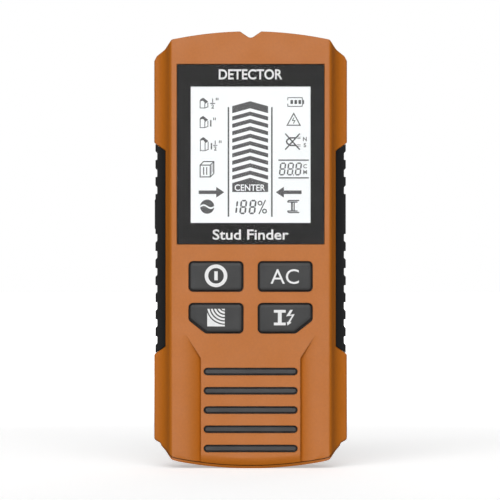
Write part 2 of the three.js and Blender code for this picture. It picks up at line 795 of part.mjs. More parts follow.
/** Hinged battery door: its top edge is a barrel with a stub pin at each end. */
function batteryDoor() {
  const hinge = [DOOR.hingeY, DOOR.hingeZ];
  const plate = block([-DOOR.half, DOOR.half], [DOOR.inner, BACK_Y], [DOOR.bottom, DOOR.hingeZ]);
  const barrel = rodX(DOOR.barrel, -DOOR.half, DOOR.half, hinge, 24);
  const pinEnd = DOOR.half + DOOR.pinReach;
  const pins = rodX(DOOR.pin, -pinEnd, pinEnd, hinge, 12);
  const grooves = [0, 1, 2].map((k) =>
    block([-7, 7], [BACK_Y - 0.5, BACK_Y + 1], [14 + 2.6 * k, 15.2 + 2.6 * k]),
  );
  const foam = block([-9, 9], [12.75, DOOR.inner - 0.1], [22, 50]);
  return [
    piece("battery_door", cut(join(plate, barrel, pins), ...grooves), MATERIAL.casing),
    piece("battery_foam", foam, MATERIAL.felt),
  ];
}

// ---------------------------------------------------------------- fasteners

/** Pan-head screw along Y whose head's underside is at y = 0 and whose shank points to -Y. */
function screw(name, [x, z], y, { head, headHeight, shank, length }) {
  const body = cut(
    join(rodY(head, 0, headHeight, [0, 0], 16), rodY(shank, -length, 0.2, [0, 0], 10)),
    block([-head * 0.55, head * 0.55], [headHeight * 0.4, 9], [-head * 0.14, head * 0.14]),
    block([-head * 0.14, head * 0.14], [headHeight * 0.4, 9], [-head * 0.55, head * 0.55]),
  );
  const mesh = piece(name, body, MATERIAL.steel);
  mesh.position.set(x, y, z);
  return mesh;
}

function screws() {
  return [
    ...CASE_SCREWS.map((at, i) => screw(`casing_screw_${i + 1}`, at, CASE_SCREW.seat + SEAT_GAP, CASE_SCREW)),
    ...PCB_SCREWS.map((at, i) => screw(`pcb_screw_${i + 1}`, at, PCB.back + SEAT_GAP, BOARD_SCREW)),
  ];
}

// ---------------------------------------------------------------- assembly

const studFinder = new THREE.Group();
studFinder.name = "stud_finder";
studFinder.add(
  ...casings(),
  ...grips(),
  ...backTrim(),
  ...display(),
  ...keys(),
  grilleInlay(),
  ...boards(),
  coil(),
  ...battery(),
  ...leads(),
  ...batteryDoor(),
  ...screws(),
);

export default studFinder;
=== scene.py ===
"""Looks of a handheld stud finder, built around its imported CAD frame.

The scanner stands upright: +Z up, its front towards -Y and its back towards +Y. Lengths are in millimetres;
build_mesh() turns them into metres once.
"""

import json
import math

import bmesh
import bpy
from mathutils import Matrix, Vector


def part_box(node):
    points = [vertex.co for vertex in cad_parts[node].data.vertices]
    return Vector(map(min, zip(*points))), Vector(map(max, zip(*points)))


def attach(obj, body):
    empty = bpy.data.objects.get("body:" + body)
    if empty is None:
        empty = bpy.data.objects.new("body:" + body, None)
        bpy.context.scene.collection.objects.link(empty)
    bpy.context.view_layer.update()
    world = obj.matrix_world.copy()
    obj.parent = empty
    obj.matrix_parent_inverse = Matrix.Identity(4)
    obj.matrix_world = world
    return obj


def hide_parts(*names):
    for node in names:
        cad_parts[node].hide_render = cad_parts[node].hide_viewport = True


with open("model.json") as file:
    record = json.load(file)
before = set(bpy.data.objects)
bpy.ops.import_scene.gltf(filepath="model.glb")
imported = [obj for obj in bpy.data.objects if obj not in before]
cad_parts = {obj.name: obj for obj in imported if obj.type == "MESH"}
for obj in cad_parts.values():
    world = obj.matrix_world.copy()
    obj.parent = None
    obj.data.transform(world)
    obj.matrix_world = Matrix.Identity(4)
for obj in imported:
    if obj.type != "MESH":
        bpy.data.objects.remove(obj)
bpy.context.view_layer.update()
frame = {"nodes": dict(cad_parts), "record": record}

MM = 0.001
ROOT = "scanner_body"


def node_box(name):
    """Lowest and highest corner of a CAD node, in millimetres."""
    low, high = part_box(name)
    return Vector(low) / MM, Vector(high) / MM


def face_of(name):
    """Size and middle (x, z) of a CAD node in the front view."""
    low, high = node_box(name)
    return (high.x - low.x, high.z - low.z), ((low.x + high.x) / 2, (low.z + high.z) / 2)


# ------------------------------------------------------------------ sizes taken from the frame

FRONT_LOW, FRONT_HIGH = node_box("front_casing")
REAR_HIGH = node_box("rear_casing")[1]
LENS_LOW, LENS_HIGH = node_box("display_lens")
MASK_LOW = node_box("lens_mask")[0]
PANEL_LOW, PANEL_HIGH = node_box("lcd_panel")
GRIP_LOW, GRIP_HIGH = node_box("right_grip")
INLAY_LOW, INLAY_HIGH = node_box("grille_inlay")
SIDE_KEY_LOW, SIDE_KEY_HIGH = node_box("key_side")
DOOR_LOW, DOOR_HIGH = node_box("battery_door")

BARREL_RADIUS = 1.7
PIN_REACH = 1.8
DOOR_HALF = DOOR_HIGH.x - PIN_REACH
DOOR_INNER_Y = DOOR_LOW.y + 1.3
HINGE_Y = DOOR_LOW.y + BARREL_RADIUS
HINGE_Z = DOOR_HIGH.z - BARREL_RADIUS

HALF_WIDTH = FRONT_HIGH.x
FRONT_Y = FRONT_LOW.y
BACK_Y = REAR_HIGH.y
PARTING_Y = -8.0
SEAM = 0.1
SKIN_Y = FRONT_Y + 2.6
BACK_SKIN_Y = BACK_Y - 2.2
END_RADIUS = 162.0
TOP_Z = REAR_HIGH.z + 0.07
FOOT_HALF = 4.0
FRONT_LIFT = FRONT_LOW.z

WINDOW_DEPTH = 1.1
LIP_SETBACK = 0.7
GRIP_RECESS = 39.6
SLOT_PITCH = 8.15
SLOT_HEIGHT = 3.2
SLOT_HALF = 19.9
SLOT_FIRST_Z = 8.4
KEY_SLOT = (23.5, 13.2)
KEY_CUT = (7.2, 5.6)
KEY_CORNER = 2.1
KEY_GAP = 0.75
SEAT_GAP = 0.2
SIDE_KEY_RIM = 1.2
SIDE_KEY_GAP = 0.5
SIDE_KEY_CORNER = 0.8
DOOR_GAP = 0.3
CASING_MID_Z = 93
BATTERY_WELL = (28.4, 53.9)
BATTERY_WELL_MID_Z = 38.55
BATTERY_WELL_FLOOR_Y = -5.1
PIN_RADIUS = 1.05
PAD_NAMES = ("glide_pad_upper", "glide_pad_left", "glide_pad_right")
SCREW_NAMES = [f"casing_screw_{k}" for k in range(1, 5)]


# ------------------------------------------------------------------ mesh helpers


def build_mesh(name, points, faces, smooth=True):
    """An object from points in millimetres, its faces turned outwards."""
    bm = bmesh.new()
    made = [bm.verts.new(Vector(p) * MM) for p in points]
    for face in faces:
        bm.faces.new([made[i] for i in face])
    bmesh.ops.recalc_face_normals(bm, faces=bm.faces)
    mesh = bpy.data.meshes.new(name)
    bm.to_mesh(mesh)
    bm.free()
    if smooth:
        mesh.shade_smooth()
    piece = bpy.data.objects.new(name, mesh)
    bpy.context.scene.collection.objects.link(piece)
    return piece


def place(u, v, w, axis):
    """A point of a prism: (u, v) in its section, w along its axis."""
    return {"X": (w, u, v), "Y": (u, w, v), "Z": (u, v, w)}[axis]


def prism(outline, axis, low, high, name="tool"):
    """Closed prism of a section: (y, z) along X, (x, z) along Y or (x, y) along Z."""
    count = len(outline)
    points = [place(p[0], p[1], w, axis) for w in (low, high) for p in outline]
    walls = [(i, (i + 1) % count, count + (i + 1) % count, count + i) for i in range(count)]
    return build_mesh(name, points, [tuple(range(count)), tuple(range(count, 2 * count)), *walls])


def slab(front, back, name="tool"):
    """Closed solid between two grids of points with the same rows and columns."""
    rows, columns = len(front), len(front[0])
    points = [p for grid in (front, back) for row in grid for p in row]

    def index(side, r, c):
        return side * rows * columns + r * columns + c

    faces = [
        [index(s, r, c), index(s, r, c + 1), index(s, r + 1, c + 1), index(s, r + 1, c)]
        for s in (0, 1)
        for r in range(rows - 1)
        for c in range(columns - 1)
    ]
    rim = [(0, c) for c in range(columns - 1)] + [(r, columns - 1) for r in range(rows - 1)]
    rim += [(rows - 1, c) for c in range(columns - 1, 0, -1)] + [(r, 0) for r in range(rows - 1, 0, -1)]
    for a, b in zip(rim, rim[1:] + rim[:1]):
        faces.append([index(0, *a), index(0, *b), index(1, *b), index(1, *a)])
    return build_mesh(name, points, faces)


def boolean(body, tools, operation="DIFFERENCE"):
    """Cuts or intersects body with every tool and throws the tools away."""
    for tool in tools:
        step = body.modifiers.new("step", "BOOLEAN")
        step.operation = operation
        step.solver = "EXACT"
        step.object = tool
    graph = bpy.context.evaluated_depsgraph_get()
    mesh = bpy.data.meshes.new_from_object(body.evaluated_get(graph))
    body.modifiers.clear()
    body.data = mesh
    for tool in tools:
        bpy.data.objects.remove(tool)
    return body


def soften(body, width, where=lambda edge: True, segments=3, sharper_than=30):
    """Rounds the sharp edges that the test picks."""
    bm = bmesh.new()
    bm.from_mesh(body.data)
    bmesh.ops.remove_doubles(bm, verts=bm.verts, dist=0.002 * MM)
    bmesh.ops.dissolve_limit(bm, angle_limit=math.radians(0.05), verts=bm.verts, edges=bm.edges)
    limit = math.radians(sharper_than)
    sharp = [e for e in bm.edges if e.is_manifold and e.calc_face_angle(0) > limit and where(e)]
    bmesh.ops.bevel(
        bm,
        geom=sharp,
        offset=width * MM,
        offset_type="OFFSET",
        segments=segments,
        profile=0.5,
        affect="EDGES",
        clamp_overlap=False,
    )
    bm.to_mesh(body.data)
    bm.free()
    return body


def finish_surface(piece, angle=32):
    """Smooth shading that keeps hard edges and leaves flat faces flat."""
    piece.data.shade_smooth()
    piece.data.set_sharp_from_angle(angle=math.radians(angle))
    weighted = piece.modifiers.new("weighted_normals", "WEIGHTED_NORMAL")
    weighted.keep_sharp = True
    return piece


def middle(edge):
    """Middle of an edge, in millimetres."""
    return (edge.verts[0].co + edge.verts[1].co) / 2 / MM


def is_rim(edge, facing):
    """True on an edge between an upright wall and a face that looks along facing (-1 front, 1 back)."""
    sides = sorted(abs(face.normal.y) for face in edge.link_faces)
    outward = max(face.normal.y * facing for face in edge.link_faces)
    return sides[0] < 0.08 and outward > 0.3


def rounded(corners, step=9):
    """Polygon of corners (x, z, radius), each rounded with an arc of its own radius."""
    outline = []
    for i, corner in enumerate(corners):
        here = Vector(corner[:2])
        radius = corner[2] if len(corner) > 2 else 0
        if not radius:
            outline.append(here)
            continue
        u = (Vector(corners[i - 1][:2]) - here).normalized()
        v = (Vector(corners[(i + 1) % len(corners)][:2]) - here).normalized()
        half = u.angle(v) / 2
        centre = here + (u + v).normalized() * (radius / math.sin(half))
        start = here + u * (radius / math.tan(half)) - centre
        end = here + v * (radius / math.tan(half)) - centre
        sweep = math.atan2(start.x * end.y - start.y * end.x, start.dot(end))
        steps = max(1, math.ceil(abs(sweep) / math.radians(step)))
        for k in range(steps + 1):
            outline.append(Matrix.Rotation(sweep * k / steps, 2) @ start + centre)
    return outline


def mirrored(half):
    """Half an outline (x >= 0) closed by its own mirror image."""
    return [*half, *[(-p[0], *p[1:]) for p in reversed(half) if p[0] > 0]]


def rounded_box(width, height, radius, at=(0, 0), step=9):
    x, z = at
    signs = ((-1, -1), (1, -1), (1, 1), (-1, 1))
    return rounded([(x + sx * width / 2, z + sz * height / 2, radius) for sx, sz in signs], step)


def circle(radius, at=(0, 0), count=40):
    turns = [2 * math.pi * k / count for k in range(count)]
    return [(at[0] + radius * math.cos(a), at[1] + radius * math.sin(a)) for a in turns]


def lathe(profile, at, name, count=40):
    """Solid turned about a line along Y through at (x, z); the profile (radius, y) starts and ends on it."""
    points = [(at[0], profile[0][1], at[1])]
    for radius, y in profile[1:-1]:
        points += [(x, y, z) for x, z in circle(radius, at, count)]
    points.append((at[0], profile[-1][1], at[1]))
    rings = len(profile) - 2
    faces = []
    for i in range(count):
        j = (i + 1) % count
        faces.append((0, 1 + i, 1 + j))
        faces.append((len(points) - 1, 1 + (rings - 1) * count + j, 1 + (rings - 1) * count + i))
        for r in range(rings - 1):
            low, high = 1 + r * count, 1 + (r + 1) * count
            faces.append((low + i, high + i, high + j, low + j))
    return build_mesh(name, points, faces)


def bezier(a, b, c, d, steps):
    """Points of a cubic curve from a to d."""
    a, b, c, d = (Vector(p) for p in (a, b, c, d))
    found = []
    for k in range(steps + 1):
        t = k / steps
        found.append(a * (1 - t) ** 3 + b * 3 * t * (1 - t) ** 2 + c * 3 * t * t * (1 - t) + d * t**3)
    return found


def flip_x(piece):
    """Mirror image of a piece across the centre plane."""
    piece.data.transform(Matrix.Scale(-1, 4, Vector((1, 0, 0))))
    piece.data.flip_normals()
    return piece


def finished(piece, name, material, body=ROOT, replaces=()):
    """Names a piece, paints it, and hangs it on its body in place of the nodes it stands for."""
    piece.name = name
    piece.data.materials.clear()
    piece.data.materials.append(material)
    finish_surface(piece)
    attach(piece, body)
    if replaces:
        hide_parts(*replaces)
    return piece


# ------------------------------------------------------------------ materials


class Nodes:
    """Short-hand for building a material's node tree."""

    def __init__(self, name, color, roughness, **sockets):
        self.material = bpy.data.materials.new(name)
        self.material.use_nodes = True
        self.tree = self.material.node_tree
        self.shader = self.tree.nodes["Principled BSDF"]
        self.shader.inputs["Base Color"].default_value = (*color, 1)
        self.shader.inputs["Roughness"].default_value = roughness
        for socket, value in sockets.items():
            self.shader.inputs[socket.replace("_", " ")].default_value = value
        self.place = self.node("ShaderNodeTexCoord").outputs["Object"]

    def node(self, kind, **settings):
        made = self.tree.nodes.new(kind)
        for key, value in settings.items():
            setattr(made, key, value)
        return made

    def link(self, source, target):
        self.tree.links.new(source, target)

    def noise(self, size_mm, detail=3.0, rough=0.55):
        """Noise whose blotches are about size_mm across."""
        made = self.node("ShaderNodeTexNoise")
        made.inputs["Scale"].default_value = 1 / (size_mm * MM)
        made.inputs["Detail"].default_value = detail
        made.inputs["Roughness"].default_value = rough
        self.link(self.place, made.inputs["Vector"])
        return made.outputs["Fac"]

    def ramp(self, factor, stops):
        made = self.node("ShaderNodeValToRGB")
        band = made.color_ramp
        while len(band.elements) < len(stops):
            band.elements.new(0.5)
        for element, (position, color) in zip(band.elements, stops):
            element.position = position
            element.color = (*color, 1) if len(color) == 3 else color
        self.link(factor, made.inputs["Fac"])
        return made.outputs["Color"]

    def spread(self, factor, low, high):
        made = self.node("ShaderNodeMapRange")
        made.inputs["From Min"].default_value = 0.25
        made.inputs["From Max"].default_value = 0.75
        made.inputs["To Min"].default_value = low
        made.inputs["To Max"].default_value = high
        self.link(factor, made.inputs["Value"])
        return made.outputs["Result"]

    def mix(self, factor, a, b, blend="MIX"):
        made = self.node("ShaderNodeMix", data_type="RGBA", blend_type=blend)
        sockets = {"factor": made.inputs[0], "a": made.inputs[6], "b": made.inputs[7]}
        for key, value in (("factor", factor), ("a", a), ("b", b)):
            if isinstance(value, bpy.types.NodeSocket):
                self.link(value, sockets[key])
            elif key == "factor":
                sockets[key].default_value = value
            else:
                sockets[key].default_value = (*value, 1)
        return made.outputs[2]

    def bump(self, height, depth_mm, strength=1.0, under=None):
        made = self.node("ShaderNodeBump")
        made.inputs["Distance"].default_value = depth_mm * MM
        made.inputs["Strength"].default_value = strength
        self.link(height, made.inputs["Height"])
        if under:
            self.link(under, made.inputs["Normal"])
        return made.outputs["Normal"]

    def painted_edge_shade(self, amount):
        """White, darkening to 1 - amount along sharp outer edges and thin walls: painted shade standing in
        for the dark fall-off of light at the body's rims.
        """
        made = self.node("ShaderNodeAmbientOcclusion", samples=8, inside=True, only_local=True)
        made.inputs["Distance"].default_value = 0.8 * MM
        low = (1 - amount,) * 3
        return self.ramp(made.outputs["AO"], [(0.35, low), (0.85, (1, 1, 1))])

    def base(self, color):
        self.link(color, self.shader.inputs["Base Color"])

    def rough(self, value):
        self.link(value, self.shader.inputs["Roughness"])

    def normal(self, value):
        self.link(value, self.shader.inputs["Normal"])


def shade(color, factor):
    return tuple(min(1, c * factor) for c in color)


def moulded(name, color, roughness, grain_mm=0.35, depth_mm=0.012, mottle=0.05, edge_shade_amount=0, **sockets):
    """Moulded plastic or rubber: fine spark-eroded grain, faint mottling, gloss where hands polish it, and
    optional painted shade along edges.
    """
    nodes = Nodes(name, color, roughness, **sockets)
    mottling = nodes.noise(38, detail=2)
    specks = nodes.noise(0.9, detail=2)
    base = nodes.ramp(mottling, [(0.3, shade(color, 1 - mottle)), (0.7, shade(color, 1 + mottle))])
    tint = nodes.ramp(specks, [(0.35, (0.94, 0.94, 0.94)), (0.65, (1, 1, 1))])
    flecked = nodes.mix(1.0, base, tint, "MULTIPLY")
    # Painted shade: the base colour is darkened along sharp outer edges and thin walls
    if edge_shade_amount:
        flecked = nodes.mix(1.0, flecked, nodes.painted_edge_shade(edge_shade_amount), "MULTIPLY")
    nodes.base(flecked)
    nodes.rough(nodes.spread(nodes.noise(9, detail=4), roughness - 0.05, roughness + 0.07))
    grain = nodes.bump(nodes.noise(grain_mm, detail=4), depth_mm)
    nodes.normal(nodes.bump(nodes.noise(14, detail=1), 0.03, 0.35, under=grain))
    return nodes.material


def printed(name, color, roughness=0.45, **sockets):
    """Screen-printed ink: nearly flat, with the faint pinholes of a print."""
    nodes = Nodes(name, color, roughness, **sockets)
    pinholes = nodes.ramp(nodes.noise(0.25, detail=1), [(0.3, shade(color, 0.9)), (0.5, color)])
    nodes.base(pinholes)
    nodes.normal(nodes.bump(nodes.noise(0.3, detail=2), 0.004))
    return nodes.material


def lens_material():
    """Polished acrylic: nearly clear, with the faintest wipe marks in its gloss."""
    nodes = Nodes("lens_acrylic", (0.02, 0.021, 0.023), 0.06, Alpha=0.06)
    nodes.rough(nodes.spread(nodes.noise(6, detail=4), 0.04, 0.12))
    return nodes.material


def display_material():
    """Lit liquid-crystal glass: cool white with the soft unevenness of its backlight."""
    color = (0.93, 0.96, 0.97)
    nodes = Nodes("display_glass", color, 0.35)
    glow = nodes.ramp(nodes.noise(30, detail=1), [(0.3, shade(color, 0.985)), (0.7, (0.96, 0.98, 0.985))])
    nodes.base(glow)
    nodes.link(glow, nodes.shader.inputs["Emission Color"])
    nodes.shader.inputs["Emission Strength"].default_value = 0.17
    nodes.normal(nodes.bump(nodes.noise(0.3, detail=1), 0.002))
    return nodes.material


def metal(name, color, roughness, scratch_mm=0.6):
    """Plated or drawn metal with fine scratches and slight tarnish."""
    nodes = Nodes(name, color, roughness, Metallic=1.0)
    tarnish = nodes.noise(5, detail=4)
    nodes.base(nodes.ramp(tarnish, [(0.3, shade(color, 0.82)), (0.6, color)]))
    nodes.rough(nodes.spread(nodes.noise(scratch_mm, detail=3), roughness - 0.08, roughness + 0.1))
    nodes.normal(nodes.bump(nodes.noise(scratch_mm / 2, detail=2), 0.006))
    return nodes.material


def board_material():
    """Solder mask over copper: a grid of tracks stands slightly proud and lighter."""
    color = (0.012, 0.11, 0.035)
    nodes = Nodes("solder_mask", color, 0.35)
    brick = nodes.node("ShaderNodeTexBrick")
    brick.inputs["Scale"].default_value = 90
    brick.inputs["Mortar Size"].default_value = 0.035
    brick.inputs["Color1"].default_value = (*color, 1)
    brick.inputs["Color2"].default_value = (*shade(color, 0.85), 1)
    brick.inputs["Mortar"].default_value = (0.03, 0.2, 0.06, 1)
    turned = nodes.node("ShaderNodeMapping")
    turned.inputs["Rotation"].default_value = (math.pi / 2, 0, 0)
    nodes.link(nodes.place, turned.inputs["Vector"])
    nodes.link(turned.outputs["Vector"], brick.inputs["Vector"])
    nodes.base(brick.outputs["Color"])
    nodes.normal(nodes.bump(brick.outputs["Fac"], 0.04))
    return nodes.material


def winding_material():
    """Enamelled wire in fine turns."""
    color = (0.6, 0.24, 0.1)
    nodes = Nodes("winding_copper", color, 0.3, Metallic=1.0)
    wave = nodes.node("ShaderNodeTexWave", wave_type="BANDS", bands_direction="Y")
    wave.inputs["Scale"].default_value = 1200
    nodes.link(nodes.place, wave.inputs["Vector"])
    nodes.base(nodes.ramp(wave.outputs["Fac"], [(0.2, shade(color, 0.5)), (0.7, color)]))
    nodes.normal(nodes.bump(wave.outputs["Fac"], 0.05))
    return nodes.material


def felt_material():
    """Short felt: fibrous bump and sheen."""
    color = (0.018, 0.018, 0.02)
    nodes = Nodes("felt_black", color, 0.95, Sheen_Weight=0.5)
    fibres = nodes.noise(0.25, detail=6, rough=0.8)
    nodes.base(nodes.ramp(fibres, [(0.3, shade(color, 0.5)), (0.7, shade(color, 2.2))]))
    nodes.normal(nodes.bump(fibres, 0.15))
    return nodes.material


MATERIALS = {
    # The casing's colour carries painted shade along its outer edges and thin walls
    "casing": moulded(
        "casing_orange", (0.45, 0.126, 0.004), 0.42, mottle=0.02, edge_shade_amount=0.3, Specular_IOR_Level=0.42
    ),
    "grip": moulded("grip_black", (0.0105, 0.0105, 0.011), 0.66, 0.5, 0.03, Specular_IOR_Level=0.24),
    "key": moulded("key_grey", (0.029, 0.0293, 0.0298), 0.6, grain_mm=0.3),
    "inlay": moulded("inlay_grey", (0.0305, 0.03, 0.0315), 0.55, grain_mm=0.3),
    "mask": printed("mask_black", (0.0135, 0.0132, 0.013), 0.5, Specular_IOR_Level=0.1),
    "ink": printed("print_white", (0.93, 0.93, 0.93), 0.5),
    "key_ink": printed("key_print_white", (0.78, 0.78, 0.78), 0.6),
    "segment": printed("segment_grey", (0.12, 0.12, 0.123), 0.4, Specular_IOR_Level=0.2),
    "lens": lens_material(),
    "display": display_material(),
    "frame": moulded("frame_white", (0.78, 0.77, 0.72), 0.5),
    "board": board_material(),
    "component": moulded("component_black", (0.02, 0.02, 0.021), 0.45, grain_mm=0.2),
    "copper": winding_material(),
    "steel": metal("screw_zinc", (0.62, 0.63, 0.65), 0.32),
    "battery": moulded("battery_sleeve", (0.035, 0.037, 0.045), 0.3, grain_mm=1.2, depth_mm=0.004),
    "felt": felt_material(),
    "foam": moulded("foam_black", (0.02, 0.02, 0.02), 0.9, grain_mm=0.6, depth_mm=0.2),
    "label": metal("label_foil", (0.5, 0.51, 0.53), 0.42),
    "red": moulded("lead_red", (0.42, 0.02, 0.012), 0.45),
    "black": moulded("lead_black", (0.013, 0.013, 0.013), 0.45),
}


# ------------------------------------------------------------------ outlines shared by the casings


def sag(x):
    """Height lost along an end arc at a distance x from the centre line."""
    return END_RADIUS - math.sqrt(END_RADIUS**2 - x * x)


def casing_outline(lift):
    """Front view of a casing whose bottom edge is raised by lift: marking notch, stepped shoulders, arcs."""
    arc_stations = (9, 13.5, 18, 22.5, 27, 30.5)
    top = [(x, TOP_Z - sag(x)) for x in arc_stations]
    foot = [(x, sag(x) - sag(FOOT_HALF) + lift) for x in (*reversed(arc_stations), FOOT_HALF)]
    half = [
        (0, 182.05, 2.2),
        (4.5, TOP_Z - sag(4.5), 1.0),
        *top,
        (33.5, TOP_Z - sag(33.5), 1.5),
        (36.4, 177.6, 4),
        (39.9, 174.95, 1.8),
        (HALF_WIDTH, 172.9, 1.6),
        (HALF_WIDTH, 11.9 + 0.3 * lift, 1.4),
        (38.4, 10.5 + 0.3 * lift, 0.3),
        (37.9 - 0.1 * lift, 9.3 + 0.3 * lift, 0.4),
        (36.0 - 0.3 * lift, 7.2 + 0.3 * lift, 1.2),
        (33.4, 3.6 + lift, 1.8),
        *foot,
    ]
    return rounded(mirrored(half))


def cove(steps=22):
    """Plan section of the front's edge: rounded shoulder, steep wall, then a cove out to the wing."""
    curve = bezier((32.9, FRONT_Y), (35.6, FRONT_Y), (34.1, -11.7), (40.3, -9.75), steps)
    edge = bezier((40.3, -9.75), (40.75, -9.6), (HALF_WIDTH, -9.4), (HALF_WIDTH, -8.9), 6)
    return [*curve, *edge[1:]]


def front_skin():
    beyond = HALF_WIDTH + 0.6
    section = mirrored([*[tuple(p) for p in cove()], (beyond, -8.6), (beyond, PARTING_Y + 1)])
    return prism(section, "Z", -2, TOP_Z + 2, "front_casing_fine")


def grip_seat(gap):
    """Space for the right-hand grip in both casings."""
    inner = GRIP_LOW.x - gap
    back = GRIP_HIGH.y + gap
    wall = GRIP_HIGH.x - 1.9 - gap
    section = [
        (inner, -20),
        (44, -20),
        (44, BACK_Y + 1),
        (GRIP_RECESS, BACK_Y + 1),
        (GRIP_RECESS, back),
        (wall, back),
        (wall, -8.2 + gap),
        (inner, -9.2 + gap),
    ]
    low, high, slope = GRIP_LOW.z - gap, GRIP_HIGH.z + gap, 3
    outside = HALF_WIDTH + 2
    run = outside - GRIP_HIGH.x
    outline = [
        (inner, low + slope),
        (GRIP_HIGH.x, low),
        (outside, low - run),
        (outside, high + run),
        (GRIP_HIGH.x, high),
        (inner, high - slope),
    ]
    return boolean(prism(section, "Z", 0, 180), [prism(outline, "Y", -25, 25)], "INTERSECT")


def side_key_outline(grow, corner=SIDE_KEY_CORNER):
    """The side key's face seen from the side, as (y, z)."""
    low, high = SIDE_KEY_LOW, SIDE_KEY_HIGH
    centre = ((high.y + low.y) / 2, (high.z + low.z) / 2)
    size = (high.y - low.y - SIDE_KEY_RIM + grow, high.z - low.z - SIDE_KEY_RIM + grow)
    return rounded_box(*size, corner, centre)


def side_key_opening(low_x, high_x):
    return prism(side_key_outline(SIDE_KEY_GAP), "X", low_x, high_x)


def mirror_pair(make):
    """The right-hand tool and its mirror image."""
    return [make(), flip_x(make())]


def key_outline(side, lower, grow):
    """Front view of a key slot; a lower key has its outer bottom corner cut off."""
    right = KEY_SLOT[0] / 2 + grow
    top = KEY_SLOT[1] / 2 + grow
    radius = KEY_CORNER + grow
    cut_corner = [(right - KEY_CUT[0], -top, 2.2 + grow), (right, -top + KEY_CUT[1], 2.2 + grow)]
    outer = cut_corner if lower else [(right, -top, radius)]
    corners = [(-right, -top, radius), *outer, (right, top, radius), (-right, top, radius)]
    return rounded([(side * x, z, r) for x, z, r in corners])


def at_centre(outline, centre):
    return [(p[0] + centre[0], p[1] + centre[1]) for p in outline]


def read_keys():
    """Each front key's middle, its side, the depth of its face, and whether it is in the lower row."""
    names = ("stud", "power", "metal", "ac")
    places = {name: face_of(f"key_{name}")[1] for name in names}
    lowest = min(z for _, z in places.values())
    return {
        name: {
            "at": at,
            "side": math.copysign(1, at[0]),
            "face": node_box(f"key_{name}")[0].y,
            "lower": at[1] < lowest + 5,
        }
        for name, at in places.items()
    }


KEYS = read_keys()

SLOT_HEIGHTS = [SLOT_FIRST_Z + k * SLOT_PITCH for k in range(5)]


def slot_outline(z, grow=0):
    height = SLOT_HEIGHT + 2 * grow
    return rounded_box(2 * SLOT_HALF + 2 * grow, height, height / 2 - 0.01, (0, z))


# ------------------------------------------------------------------ casings

SCOOP = {"panel": 21.1, "flare": (27.1, 46.7, 56.1), "outer": 32.5, "depth": 2.15, "top": 57.2}


def thumb_scoop():
    """Hollow beside the slotted panel: deepest at the panel's edge, fading out to the side and top."""
    columns, rows = 22, 46
    lip = 0.02
    wide, flare_low, flare_high = SCOOP["flare"]

    def edge(z):
        share = min(1, max(0, (z - flare_low) / (flare_high - flare_low)))
        return SCOOP["panel"] + share * (wide - SCOOP["panel"])

    floor, lid = [], []
    for r in range(rows + 1):
        z = -3 + (SCOOP["top"] + 3) * r / rows
        fade = min(1, max(0, (SCOOP["top"] - z) / 13))
        depth = SCOOP["depth"] * fade * fade * (3 - 2 * fade) + lip
        xs = [edge(z) + (SCOOP["outer"] - edge(z)) * c / columns for c in range(columns + 1)]
        drops = [depth * (1 - c / columns) ** 2.6 - lip for c in range(columns + 1)]
        floor.append([(x, FRONT_Y + drop, z) for x, drop in zip(xs, drops)])
        lid.append([(x, FRONT_Y - 2, z) for x in xs])
    return slab(floor, lid)


def bottom_roll(face_y, lift, reach, depth):
    """Cutter that rolls a face under towards its lower edge, along the arc and less at the ends."""
    steps = 12

    def fade(x):
        return 1 - min(1, abs(x) / 33) ** 3

    floor, lid = [], []
    for r in range(steps + 1):
        above = reach - (reach + 1) * r / steps
        drop = depth * ((reach - above) / reach) ** 2
        places = [(x, sag(x) - sag(FOOT_HALF) + lift + above) for x in range(-44, 45)]
        floor.append([(x, face_y + drop * fade(x) - 0.01, z) for x, z in places])
        lid.append([(x, face_y - 2, z) for x, z in places])
    return slab(floor, lid)


def front_casing():
    body = boolean(front_skin(), [prism(casing_outline(FRONT_LIFT), "Y", -20, PARTING_Y)], "INTERSECT")

    def opening(low, high, gap):
        size = (high.x - low.x + 2 * gap, high.z - low.z + 2 * gap)
        return rounded_box(*size, 0, (0, (low.z + high.z) / 2))

    tools = [
        prism(opening(LENS_LOW, LENS_HIGH, 0.1), "Y", -20, FRONT_Y + WINDOW_DEPTH),
        prism(opening(PANEL_LOW, PANEL_HIGH, 0.3), "Y", -20, -9),
        prism(rounded_box(62.6, 172, 3, (0, CASING_MID_Z)), "Y", SKIN_Y, 0),
        prism(rounded_box(67.8, 166, 3, (0, CASING_MID_Z)), "Y", SKIN_Y + 1.5, 0),
        *[prism(slot_outline(z), "Y", -20, -9) for z in SLOT_HEIGHTS],
        *[
            prism(at_centre(key_outline(key["side"], key["lower"], -0.1), key["at"]), "Y", -20, -9)
            for key in KEYS.values()
        ],
        *mirror_pair(thumb_scoop),
        bottom_roll(FRONT_Y, FRONT_LIFT, 3.9, 0.85),
        *mirror_pair(lambda: grip_seat(SEAT_GAP)),
    ]
    body = boolean(body, tools)
    scoop_end = SCOOP["flare"][1]

    def rounds(edge):
        spot = middle(edge)
        fading = spot.z > scoop_end and 20 < abs(spot.x) < 33 and spot.z < SCOOP["top"] + 0.5
        rolled = abs(spot.x) < 33.4 and spot.z < sag(spot.x) + FRONT_LIFT + 1.5
        return is_rim(edge, -1) and not fading and not rolled and spot.y < PARTING_Y - 0.5

    def top_edge(edge):
        spot = middle(edge)
        return rounds(edge) and spot.z > LENS_HIGH.z + 2 and abs(spot.x) < 32

    soften(body, 0.5, top_edge, segments=4)
    soften(body, 0.12, rounds)
    return finished(body, "front_casing_fine", MATERIALS["casing"], replaces=["front_casing"])


